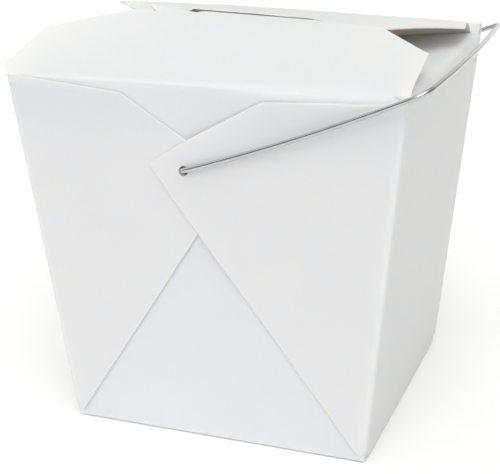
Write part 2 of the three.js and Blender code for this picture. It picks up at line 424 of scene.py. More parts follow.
@dataclass
class Sheet:
    """One piece of board, or two layers that lie together, bent onto a surface.

    Attributes:
        name: The piece's name.
        surface: Gives the place of the outer face for points of the sheet's own plane.
        loops: The outline first, then the holes.
        u_lines: Grid lines of constant u that the mesh follows.
        v_lines: Grid lines of constant v that the mesh follows.
        thickness: Gives the board's thickness at points of the plane.
        wear: Gives how much the coating has been worked, from 0 on flat board to 1 on a fold.
        groove: Depth of the line between two layers on a cut edge, none for a single layer.
        groove_reach: Half the width of that line.
        broken: Radius by which the corners of a cut edge are broken.
        ragged: How far a cut edge wanders in and out.
        ragged_wave: Typical distance between two places where it stands out.
        clear: Least distance of a grid point from a rim.
        merge: Distance within which two points of the flat mesh count as one.
        drift: Gives how far grid points move across, so that the mesh follows a slanting fold.
        rings: How many lines of vertices an edge has, the two that it shares with the faces among them.
    """

    name: str
    surface: Surface
    loops: list[Loop]
    u_lines: np.ndarray
    v_lines: np.ndarray
    thickness: Scalar
    wear: Scalar
    groove: float = 0.0
    groove_reach: float = 0.04
    broken: float = 0.07
    ragged: float = 0.03
    ragged_wave: float = 3.1
    ragged_seed: int = 77
    clear: float = 0.25
    merge: float = 1e-5
    drift: Drift | None = None
    rings: int = field(default=9, init=False)

    def normals(self, uv: np.ndarray) -> tuple[np.ndarray, np.ndarray, np.ndarray]:
        """Normals of the surface and its two tangents at points of the plane."""
        du = np.array([NORMAL_STEP, 0.0])
        dv = np.array([0.0, NORMAL_STEP])
        along_u = (self.surface(uv + du) - self.surface(uv - du)) / (2 * NORMAL_STEP)
        along_v = (self.surface(uv + dv) - self.surface(uv - dv)) / (2 * NORMAL_STEP)
        return unit(np.cross(along_u, along_v)), along_u, along_v

    def _profile(self, depth: np.ndarray, cut: np.ndarray) -> tuple[np.ndarray, np.ndarray, np.ndarray]:
        """Section of the edge at each sample: inset, depth and tilt of the normal, ring by ring.

        Args:
            depth: The board's thickness at each sample.
            cut: Whether each sample is on a cut edge.

        Returns:
            Three arrays with one row per ring and one column per sample.
        """
        radius = depth / 2.0
        angles = np.linspace(0.0, math.pi, self.rings)[:, None]
        fold_inset = radius * (1.0 - np.sin(angles))
        fold_depth = radius * (1.0 - np.cos(angles))
        fold_tilt = np.repeat(angles, len(depth), 1)
        c, diagonal = self.broken, self.broken * (1.0 - math.sqrt(0.5))
        line = self.groove_reach if self.groove else 0.0
        zero = np.zeros_like(depth)
        insets = (c, diagonal, 0.0, 0.0, self.groove, 0.0, 0.0, diagonal, c)
        cut_inset = np.stack([zero + inset for inset in insets])
        cut_depth = np.stack([zero, zero + diagonal, zero + c, radius - line, radius, radius + line,
                              depth - c, depth - diagonal, depth])
        flat = math.pi / 2
        cut_angles = [0.0, flat / 2, flat, flat, flat, flat, flat, 1.5 * flat, math.pi]
        cut_tilt = np.repeat(np.array(cut_angles)[:, None], len(depth), 1)
        pick = cut[None, :]
        return (np.where(pick, cut_inset, fold_inset), np.where(pick, cut_depth, fold_depth),
                np.where(pick, cut_tilt, fold_tilt))

    def _grid(self, rims: list[np.ndarray]) -> np.ndarray:
        """The grid points that lie well inside the outline and outside the holes."""
        u, v = np.meshgrid(self.u_lines, self.v_lines)
        if self.drift is not None:
            u = u + self.drift(u, v)
        points = np.stack([u.ravel(), v.ravel()], 1)
        points = points[on_material(points, rims)]
        near = np.full(len(points), np.inf)
        for rim in rims:
            for start, end in zip(rim, np.roll(rim, -1, 0)):
                run = end - start
                along = np.clip(((points - start) @ run) / max(run @ run, ROUNDING), 0.0, 1.0)
                near = np.minimum(near, np.linalg.norm(points - start - along[:, None] * run, axis=1))
        return points[near > self.clear]

    def _triangles(self, rims: list[np.ndarray], grid: np.ndarray) -> tuple[np.ndarray, np.ndarray]:
        """Triangulates the area between the rims.

        Args:
            rims: The flat mesh's outline first, then its holes.
            grid: The points between them.

        Returns:
            The points, rims first and in order, and the triangles as rows of three indices.
        """
        points = np.concatenate([*rims, grid])
        edges: list[tuple[int, int]] = []
        start = 0
        for rim in rims:
            count = len(rim)
            edges += [(start + i, start + (i + 1) % count) for i in range(count)]
            start += count
        made = delaunay_2d_cdt([Vector(p) for p in points], edges, [], 0, self.merge, True)
        corners = np.array([tuple(p) for p in made[0]])
        faces = np.array([f for f in made[2] if len(f) == 3])
        source = np.array([o[0] if o else -1 for o in made[3]])
        faces = source[faces[on_material(corners[faces].mean(1), rims)]]
        faces = faces[(faces >= 0).all(1)]
        a, b, c = points[faces[:, 0]], points[faces[:, 1]], points[faces[:, 2]]
        area = (b[:, 0] - a[:, 0]) * (c[:, 1] - a[:, 1]) - (b[:, 1] - a[:, 1]) * (c[:, 0] - a[:, 0])
        faces[area < 0] = faces[area < 0][:, ::-1]
        return points, faces

    def build(self, materials: Sequence[bpy.types.Material]) -> bpy.types.Object:
        """Makes the sheet's mesh: outer face, inner face and the edges that join them.

        Args:
            materials: The board's outer face first, then its cut edges, then its inner face.

        Returns:
            The new object, at the origin.
        """
        sections = [
            (loop, loop.outward(), *self._profile(self.thickness(loop.points), loop.cut))
            for loop in self.loops
        ]
        rims = [loop.points - out * inset[0][:, None] for loop, out, inset, _, _ in sections]
        flat, triangles = self._triangles(rims, self._grid(rims))
        count = len(flat)
        outer = self.surface(flat)
        normal = self.normals(flat)[0]
        inner = outer - normal * self.thickness(flat)[:, None]
        places = [outer, inner]
        shading = [normal, -normal]
        wears = [self.wear(flat), self.wear(flat)]
        faces: list[tuple[int, ...]] = [tuple(t) for t in triangles]
        faces += [tuple(count + t[::-1]) for t in triangles]
        kinds = [Face.OUTER] * len(triangles) + [Face.INNER] * len(triangles)
        total, start = 2 * count, 0
        for loop, out, inset, depth, tilt in sections:
            size = len(loop.points)
            u, v = loop.points.T
            rough = self.ragged * ripple(u, v, self.ragged_seed, self.ragged_wave) * loop.cut
            ring_starts = [start]
            for k in range(1, self.rings - 1):
                uv = loop.points - out * (inset[k] - rough)[:, None]
                up, along_u, along_v = self.normals(uv)
                away = unit(along_u * out[:, :1] + along_v * out[:, 1:])
                places.append(self.surface(uv) - up * depth[k][:, None])
                shading.append(unit(up * np.cos(tilt[k])[:, None] + away * np.sin(tilt[k])[:, None]))
                wears.append(self.wear(uv))
                ring_starts.append(total)
                total += size
            ring_starts.append(count + start)
            for top, low in zip(ring_starts, ring_starts[1:]):
                for i in range(size):
                    j = (i + 1) % size
                    faces.append((top + i, low + i, low + j, top + j))
                    kinds.append(Face.EDGE if loop.cut[i] else Face.OUTER)
            start += size
        return make_mesh(self.name, np.concatenate(places), faces, materials,
                         kinds=kinds, normals=np.concatenate(shading), wear=np.concatenate(wears))


def make_mesh(
    name: str,
    places: np.ndarray,
    faces: Sequence[tuple[int, ...]],
    materials: Sequence[bpy.types.Material],
    kinds: Sequence[int] | None = None,
    normals: np.ndarray | None = None,
    wear: np.ndarray | None = None,
) -> bpy.types.Object:
    """Makes a smooth-shaded mesh object at the origin.

    Args:
        name: The object's name.
        places: Vertex places in millimetres, one row each.
        faces: Vertex indices of each face.
        materials: The mesh's materials.
        kinds: Index of each face's material, the first one where left out.
        normals: Shading normal of each vertex, worked out from the faces where left out.
        wear: Value of the "wear" attribute at each vertex, where the finish reads it.

    Returns:
        The object, linked to the scene.
    """
    mesh = bpy.data.meshes.new(name)
    mesh.from_pydata([tuple(p) for p in places * MM], [], [tuple(int(i) for i in f) for f in faces])
    for material in materials:
        mesh.materials.append(material)
    if kinds is not None:
        mesh.polygons.foreach_set("material_index", [int(kind) for kind in kinds])
    mesh.polygons.foreach_set("use_smooth", [True] * len(mesh.polygons))
    if wear is not None:
        attribute = mesh.attributes.new("wear", "FLOAT", "POINT")
        attribute.data.foreach_set("value", np.asarray(wear, np.float32))
    if normals is not None:
        mesh.normals_split_custom_set_from_vertices([tuple(n) for n in normals])
    mesh.update()
    made = bpy.data.objects.new(name, mesh)
    bpy.context.scene.collection.objects.link(made)
    return made


def spaced(low: float, high: float, step: float, extra: Sequence[float] = ()) -> np.ndarray:
    """Grid lines from low to high, with extra ones among them.

    Args:
        low: The first line.
        high: The last line.
        step: About how far apart they are.
        extra: Lines that are wanted besides, where they lie between the two.

    Returns:
        The lines in order, without those that would lie too close to the one before.
    """
    count = max(2, int(round((high - low) / step)) + 1)
    lines = np.concatenate([np.linspace(low, high, count), np.array(extra, float)])
    lines = np.unique(np.round(lines[(lines >= low - ROUNDING) & (lines <= high + ROUNDING)], 4))
    kept = [lines[0]]
    for line in lines[1:]:
        if line - kept[-1] > LINE_GAP:
            kept.append(line)
    return np.array(kept)


# ---- Folded strip: back flap, back wall, base, front wall and lid --------------------------------


@dataclass(frozen=True)
class FoldedPath:
    """A line of straight legs in the YZ plane whose corners are rounded, measured from its middle.

    Attributes:
        corners: (y, z, radius) of each corner, with the two ends first and last.
        middle: Index of the leg whose middle is at distance zero.
    """

    corners: tuple[tuple[float, float, float], ...]
    middle: int

    def _legs(self) -> list[tuple[np.ndarray, np.ndarray, float, float, float]]:
        """For each leg: start corner, direction, length, and how much its two corners take off it."""
        legs = []
        points = [np.array(c[:2]) for c in self.corners]
        cut = [0.0] * len(points)
        for i in range(1, len(points) - 1):
            before, after = unit(points[i] - points[i - 1]), unit(points[i + 1] - points[i])
            cut[i] = self.corners[i][2] * math.tan(angle_between(before, after) / 2.0)
        for i in range(len(points) - 1):
            run = points[i + 1] - points[i]
            legs.append((points[i], unit(run), float(np.linalg.norm(run)), cut[i], cut[i + 1]))
        return legs

    def _starts(self) -> list[float]:
        """Distance along the path at which each leg's straight part starts."""
        legs = self._legs()
        starts = [0.0]
        for i in range(len(legs) - 1):
            straight = legs[i][2] - legs[i][3] - legs[i][4]
            turn = angle_between(legs[i][1], legs[i + 1][1])
            starts.append(starts[-1] + straight + self.corners[i + 1][2] * turn)
        leg = legs[self.middle]
        zero = starts[self.middle] + (leg[2] - leg[3] - leg[4]) / 2.0
        return [s - zero for s in starts]

    def along(self, leg: int, distance: float) -> float:
        """Distance along the path of a point on a leg, given from the leg's own start corner."""
        return self._starts()[leg] + distance - self._legs()[leg][3]

    def fold_lines(self, steps: int = 7, beyond: int = 2) -> list[float]:
        """Distances along the path at which its rounded corners are divided, and a few beyond them."""
        lines: list[float] = []
        legs, starts = self._legs(), self._starts()
        for i in range(len(legs) - 1):
            end = starts[i] + legs[i][2] - legs[i][3] - legs[i][4]
            room = starts[i + 1] - end
            lines += [end + room * k / steps for k in range(-beyond, steps + beyond + 1)]
        return lines

    def points(self, v: np.ndarray) -> tuple[np.ndarray, np.ndarray]:
        """The path's Y and Z at distances along it."""
        legs, starts = self._legs(), self._starts()
        y, z = np.zeros_like(v), np.zeros_like(v)
        for i, (origin, direction, length, near, far) in enumerate(legs):
            start = starts[i]
            end = start + length - near - far
            low = -np.inf if i == 0 else start
            high = np.inf if i == len(legs) - 1 else end
            on = (v >= low) & (v <= high)
            t = v - start + near
            y = np.where(on, origin[0] + direction[0] * t, y)
            z = np.where(on, origin[1] + direction[1] * t, z)
            if i == len(legs) - 1:
                continue
            radius, after = self.corners[i + 1][2], legs[i + 1][1]
            bend = (v > end) & (v < starts[i + 1])
            side = 1.0 if direction[0] * after[1] - direction[1] * after[0] > 0 else -1.0
            inward = np.array([-direction[1], direction[0]]) * side
            tangent_point = origin + direction * (length - far)
            centre = tangent_point + inward * radius
            angle = (v - end) / radius
            arc = [
                centre[k] - inward[k] * radius * np.cos(angle) + direction[k] * radius * np.sin(angle)
                for k in (0, 1)
            ]
            y, z = np.where(bend, arc[0], y), np.where(bend, arc[1], z)
        return y, z


@dataclass(frozen=True)
class Closure:
    """The lid and the back flap, which lean on each other and lock by a tongue in a slit.

    Places on both are given in plan, as (x, y). A size named run, rise or fall is the distance over which
    something comes or goes.
    """

    sizes: PailSizes
    slope: float = 0.307
    twist: float = 0.063
    crown: float = 0.25
    lid_right: tuple[float, float] = (55.5, -22.3)
    lid_left: tuple[float, float] = (-57.0, -22.2)
    lid_flare: tuple[float, float] = (-59.9, -41.2)
    shoulder_right: tuple[float, float] = (39.3, -8.5)
    shoulder_left: tuple[float, float] = (-33.4, -8.9)
    neck: tuple[float, float] = (-27.0, -9.9)
    barb: tuple[float, float] = (-31.9, -5.8)
    slit_left: float = -19.6
    slit_right: float = 20.6
    slit_y: float = -7.3
    slit_front: float = -9.0
    tongue_end: float = -2.6
    flap_side: tuple[float, float] = (55.8, 22.0)
    flap_shoulder: tuple[float, float] = (34.0, -5.8)
    flap_front: tuple[float, float] = (31.0, -13.5)
    flap_hinge: float = 52.8
    arch: float = 3.5
    arch_fall: float = 0.5
    arch_lean: float = 0.2
    hinge_slope: float = 0.47
    hinge_swell: float = 1.3
    droop: float = 2.0
    side_droop: float = 0.5
    chamfer_curl: float = 11.0
    side_curl: float = 2.6
    clearance: float = 0.06
    barb_dip: float = 0.12
    tongue_dip: float = 0.42
    tongue_dip_run: float = 3.0
    lift_start: float = 0.1
    lift_rise: float = 2.6
    lift_past: float = 3.0
    lift_fall: float = 5.0
    mouth: float = 0.24
    mouth_rise: float = 0.08
    narrowing: float = 0.5
    narrow_from: float = 0.5
    narrow_run: float = 0.4
    least_gap: float = 0.03
    dent: float = 0.5
    dent_rise: float = 2.6
    dent_reach: float = 3.4
    dent_start: float = 0.4
    dent_run: float = 1.3
    curl_limit: float = 1.2
    tip_start: float = 8.0
    tip_run: float = 10.0
    fold_calm: float = 2.5
    swell_start: float = 38.0
    swell_rise: float = 9.0
    swell_peak: float = 0.1
    behind_fold: float = -0.5

    def lid_slope(self, x: np.ndarray) -> np.ndarray:
        """Slope of the lid at a place across it."""
        return self.slope - self.twist * x / self.sizes.top_half_width

    def lid_height(self, x: np.ndarray, y: np.ndarray) -> np.ndarray:
        """Height of the lid's upper face, whose tongue dips below the flap to the right of the barb."""
        reach = y + self.sizes.fold_y
        whole = self.slit_y + self.sizes.fold_y
        share = np.clip(reach / whole, 0.0, 1.0)
        crown = 4.0 * self.crown * share * (1.0 - share)
        past = np.maximum(y - self.slit_y, 0.0)
        dip = self.tongue_dip * smooth((x - self.slit_left) / self.tongue_dip_run) + self.barb_dip
        return self.sizes.height + reach * self.lid_slope(x) + crown - dip * past

    def raised(self, x: np.ndarray) -> np.ndarray:
        """How far the back flap is lifted onto the tongue: 1 in the slit and 0 away from it."""
        rise = smooth((x - self.slit_left - self.lift_start) / self.lift_rise)
        return rise * smooth((self.slit_right + self.lift_past - x) / self.lift_fall)

    def gap(self, x: np.ndarray) -> np.ndarray:
        """Open height of the slit, narrower towards its right end."""
        share = np.clip((x - self.slit_left) / (self.slit_right - self.slit_left), 0.0, 1.0)
        narrowed = self.narrowing * smooth((share - self.narrow_from) / self.narrow_run)
        return self.mouth * smooth(share / self.mouth_rise) * (1.0 - narrowed) + self.least_gap

    def dented(self, x: np.ndarray, y: np.ndarray) -> np.ndarray:
        """How far the lid is pressed in where its tongue enters the slit's left end."""
        into = x - self.slit_left
        across = smooth(into / self.dent_rise) * (1.0 - smooth((into - self.dent_reach) / self.dent_reach))
        return self.dent * across * smooth((y - self.slit_front - self.dent_start) / self.dent_run)

    def _hang(self, x: np.ndarray, y: np.ndarray, run: np.ndarray, reach: float) -> np.ndarray:
        """How much a free edge through the flap's side corner hangs: 1 on the edge, 0 a reach inwards.

        Args:
            x: Places across the flap.
            y: Places along it.
            run: The edge's direction.
            reach: How far in from the edge the board hangs.

        Returns:
            The share at each point.
        """
        run = run / np.linalg.norm(run)
        inwards = (self.flap_side[0] - np.abs(x)) * run[1] + (y - self.flap_side[1]) * run[0]
        return np.minimum(np.maximum(1.0 - inwards / reach, 0.0) ** 2, self.curl_limit)

    def curl(self, x: np.ndarray, y: np.ndarray) -> np.ndarray:
        """How far the back flap's free edges hang, most on its slanted ones."""
        corner = np.array(self.flap_side)
        near_slant = self._hang(x, y, corner - np.array(self.flap_shoulder), self.chamfer_curl)
        near_side = self._hang(x, y, np.array([self.flap_hinge, self.sizes.fold_y]) - corner, self.side_curl)
        left_tip = np.where(x < 0.0, smooth((y - self.tip_start) / self.tip_run), 0.0)
        fall = np.maximum(self.droop * near_slant, self.side_droop * near_side) * (1.0 - left_tip)
        return fall * smooth((self.sizes.fold_y - y) / self.fold_calm)

    def flap_height(self, x: np.ndarray, y: np.ndarray) -> np.ndarray:
        """Height of the back flap's upper face: an arch from its fold to the slit, then on under the lid."""
        board, height = self.sizes.board, self.sizes.height
        under = -board - self.clearance
        lift = self.raised(x) * (board + self.gap(x) - under)
        length = self.sizes.fold_y - self.slit_y
        share = np.clip((self.sizes.fold_y - y) / length, self.behind_fold, 1.0)
        edge = self.lid_height(x, np.full_like(y, self.slit_y)) + under
        across = x / self.sizes.top_half_width
        arch = self.arch - self.arch_fall * across ** 2 - self.arch_lean * across
        swell = self.hinge_swell * smooth((x - self.swell_start) / self.swell_rise)
        near_hinge = np.maximum(share, 0.0) / self.swell_peak
        behind = height + (edge - height) * share + 4.0 * arch * share * (1.0 - share)
        behind = behind + lift * np.maximum(share, 0.0) ** 4
        behind = behind + swell * near_hinge * np.exp(1.0 - near_hinge)
        fade = 1.0 - smooth((self.slit_y - y) / (self.slit_y - self.slit_front))
        ahead = self.lid_height(x, y) + under + lift * fade
        return np.where(y >= self.slit_y, behind, ahead) - self.curl(x, y)


@dataclass
class FoldedStrip:
    """The strip of the blank that makes the back flap, back wall, base, front wall and lid.

    Attributes:
        sizes: The pail's sizes.
        warp: The waves of its panels.
        closure: The shape of the lid and the back flap.
        grid: Distance between the mesh's lines.
        spare: How far the section runs on past the ends of the lid and the back flap.
        side_inset: How far the walls' sides stay inside the corners.
        flare_room: How far the grid runs on past the left wall, for the lid's flared corner.
        soft_fold: How far the soft bend of the lid's fold reaches at its right end.
        soft_from: Place across the lid where the bend starts to be soft.
        soft_to: Place across the lid where it is fully soft.
        soft_slide: How far its middle lies past the start of the fold.
        soft_depth: Its reach divided by its depth.
        soft_drop: How far it goes down for each millimetre that it goes in.
    """

    sizes: PailSizes
    warp: Warp
    closure: Closure
    grid: float = 3.0
    spare: float = 20.0
    side_inset: float = 0.7
    flare_room: float = 5.0
    soft_fold: float = 6.0
    soft_from: float = 0.0
    soft_to: float = 40.0
    soft_slide: float = 0.1
    soft_depth: float = 4.0
    soft_drop: float = 0.7
    front_leg: int = field(default=3, init=False)
    lid_leg: int = field(default=4, init=False)

    def __post_init__(self) -> None:
        """Lays out the strip's section."""
        s, c = self.sizes, self.closure
        inner = s.base_half_depth - s.gusset
        lid_end = c.tongue_end + self.spare
        flap_end = c.flap_front[1] - self.spare
        lid_rise = (lid_end + s.fold_y) * c.slope
        flap_rise = (s.fold_y - flap_end) * c.hinge_slope
        self.path = FoldedPath((
            (flap_end, s.height + flap_rise, 0.0),
            (s.fold_y, s.height, s.top_fold),
            (inner, 0.0, s.base_fold),
            (-inner, 0.0, s.base_fold),
            (-s.fold_y, s.height, s.top_fold),
            (lid_end, s.height + lid_rise, 0.0),
        ), 2)
        self.flap_total = math.hypot(s.fold_y - flap_end, flap_rise)

    def lid_v(self, y: float) -> float:
        """Distance along the strip of a line across the lid."""
        forward = (y + self.sizes.fold_y) * math.hypot(1.0, self.closure.slope)
        return self.path.along(self.lid_leg, forward)

    def flap_v(self, y: float) -> float:
        """Distance along the strip of a line across the back flap."""
        back = (self.sizes.fold_y - y) * math.hypot(1.0, self.closure.hinge_slope)
        return self.path.along(0, self.flap_total - back)

    def front_v(self, up: float) -> float:
        """Distance along the strip of a line across the front wall, given up its slope."""
        return self.path.along(self.front_leg, up)

    def softened(self, x: np.ndarray, v: np.ndarray) -> np.ndarray:
        """How far the lid's fold is rounded off into a softer bend, towards its right end."""
        reach = self.soft_fold * smooth((x - self.soft_from) / (self.soft_to - self.soft_from))
        blunt = self.sizes.top_fold / 2.0
        away = np.hypot(v - self.lid_v(-self.sizes.fold_y) - self.soft_slide, blunt) - blunt
        share = np.clip(1.0 - away / np.maximum(reach, TINY), 0.0, 1.0)
        return reach * share ** 2 / self.soft_depth

    def surface(self, uv: np.ndarray) -> np.ndarray:
        """Place of the strip's outer face for points across and along it."""
        s, c, warp = self.sizes, self.closure, self.warp
        x, v = uv[:, 0], uv[:, 1]
        y, z = self.path.points(v)
        on_lid = v > self.lid_v(-s.fold_y)
        on_flap = v < self.flap_v(s.fold_y)
        lid_plane = s.height + (y + s.fold_y) * c.slope
        waves = warp.lid_waves(x, y, s.fold_y, c.slit_y)
        lid = z + c.lid_height(x, y) - c.dented(x, y) - lid_plane + waves
        flap_plane = s.height + (s.fold_y - y) * c.hinge_slope
        flap = z + c.flap_height(x, y) - flap_plane
        front, back = warp.wall(x, z, s, warp.front_seed), warp.wall(-x, z, s, warp.back_seed)
        bow = np.where(v > 0, -front, back)
        y = np.where(on_lid | on_flap, y, y + bow)
        z = np.where(on_lid, lid, np.where(on_flap, flap, z))
        edge = np.minimum(s.base_half_width - np.abs(x), s.base_half_depth - s.gusset - np.abs(y))
        lifted = s.base_lift * (1.0 - smooth(z / s.base_lift_height))
        z = z + lifted * (1.0 - smooth(edge / s.base_lift_reach))
        round_off = self.softened(x, v)
        return np.stack([x, y + round_off, z - self.soft_drop * round_off], 1)

    def outline(self) -> list[Corner]:
        """The strip's outline, anticlockwise in its own plane, from the lid's right end on."""
        s, c = self.sizes, self.closure
        top, base = s.top_half_width, s.base_half_width - s.base_fold
        inner = top - self.side_inset
        lid = [
            (top - 0.2, -s.fold_y, 0.5),
            (*c.lid_right, 1.0),
            (*c.shoulder_right, 2.0),
            (c.slit_right + 1.2, c.slit_y - 0.5, 0.5),
            (c.slit_right - 0.2, c.tongue_end, 1.2),
            (c.slit_left + 2.0, c.tongue_end, 1.2),
            (c.slit_left + 0.6, c.slit_y + 0.2, 0.3),
            (c.slit_left - 0.8, c.slit_y + 0.1, 0.3),
            (c.slit_left - 2.2, c.barb[1] - 0.4, 0.8),
            (*c.barb, 0.5),
            (*c.neck, 0.4),
            (*c.shoulder_left, 1.5),
            (*c.lid_left, 3.0),
            (*c.lid_flare, 2.2),
            (-top - 0.6, -s.fold_y + 0.6, 0.8),
        ]
        walls = [
            (inner, self.lid_v(-s.fold_y) - 1.5),
            (base, self.front_v(0.0)),
            (base, -self.front_v(0.0)),
            (inner, self.flap_v(s.fold_y) + 1.5),
        ]
        flap = [
            (c.flap_hinge, s.fold_y, 0.4),
            (*c.flap_side, 1.2),
            (*c.flap_shoulder, 3.0),
            (*c.flap_front, 2.0),
        ]
        left_down = [Corner(-x, v, 0.3) for x, v in walls]
        left_down += [Corner(-x, self.flap_v(y), radius) for x, y, radius in flap]
        right_up = [Corner(-corner.u, corner.v, corner.radius) for corner in reversed(left_down)]
        return [Corner(x, self.lid_v(y), radius) for x, y, radius in lid] + left_down + right_up

    def slit(self) -> list[Corner]:
        """The open slit in the back flap, clockwise."""
        c = self.closure
        left, right = c.slit_left, c.slit_right
        near, far = self.flap_v(c.slit_front), self.flap_v(c.slit_y)
        return [Corner(u, v, 0.3) for u, v in ((left, near), (left, far), (right, far), (right, near))]

    def wear(self, uv: np.ndarray) -> np.ndarray:
        """1 on the strip's folds, fading to 0 within a few millimetres."""
        v = uv[:, 1]
        base, fold_y = self.front_v(0.0), self.sizes.fold_y
        folds = (self.lid_v(-fold_y), self.flap_v(fold_y), base, -base)
        near = np.min([np.abs(v - fold) for fold in folds], 0)
        return 1.0 - smooth(near / WEAR_REACH)

    def sheet(self) -> Sheet:
        """The strip as a sheet of single board."""
        c, s = self.closure, self.sizes
        low, high = self.flap_v(c.flap_front[1]), self.lid_v(c.tongue_end)
        extra = self.path.fold_lines()
        # Closer lines where the board bends most: by the slit, the hinge, the tongue and the lid's fold.
        extra += [self.flap_v(c.slit_y + d) for d in (-1.7, -1.3, -0.9, -0.4, 0.0, 0.5, 1.2, 2.0)]
        extra += [self.flap_v(s.fold_y - d) for d in (2.0, 3.2, 4.4, 5.6, 7.0, 8.5)]
        extra += [self.lid_v(c.slit_y + d) for d in (-1.6, -0.8, 0.0, 0.8, 1.6)]
        extra += [self.lid_v(-s.fold_y) + d * way for way in (-1.0, 1.0) for d in (2.0, 3.0, 4.0, 5.0, 6.0)]
        v_lines = spaced(low, high, self.grid, extra)
        ends = [c.slit_left + d for d in (-1.0, 0.0, 0.8, 1.6, 2.4, 3.2, 4.2, 5.4, 6.8, 8.2)]
        ends += [c.slit_right + d for d in (-2.0, -1.0, 0.0, 1.0, 2.0, 3.0)]
        u_lines = spaced(-s.top_half_width - self.flare_room, s.top_half_width, self.grid, ends)
        loops = [Loop.from_corners(corners, u_lines, v_lines) for corners in (self.outline(), self.slit())]
        up = (s.pivot_z + s.hole_shift[1]) / math.cos(s.lean)
        for v in (self.front_v(up), -self.front_v(up)):
            loops.append(Loop.circle(s.pivot_x + s.hole_shift[0], v, s.hole_radius))
        return Sheet("folded_strip", self.surface, loops, u_lines, v_lines,
                     lambda uv: np.full(len(uv), s.board), self.wear)


# ---- Wraps: a plain wall with the gussets at its two upright corners, and its side flap ----------


class Side(Enum):
    """Which plain wall a wrap makes."""

    RIGHT = 1
    LEFT = -1


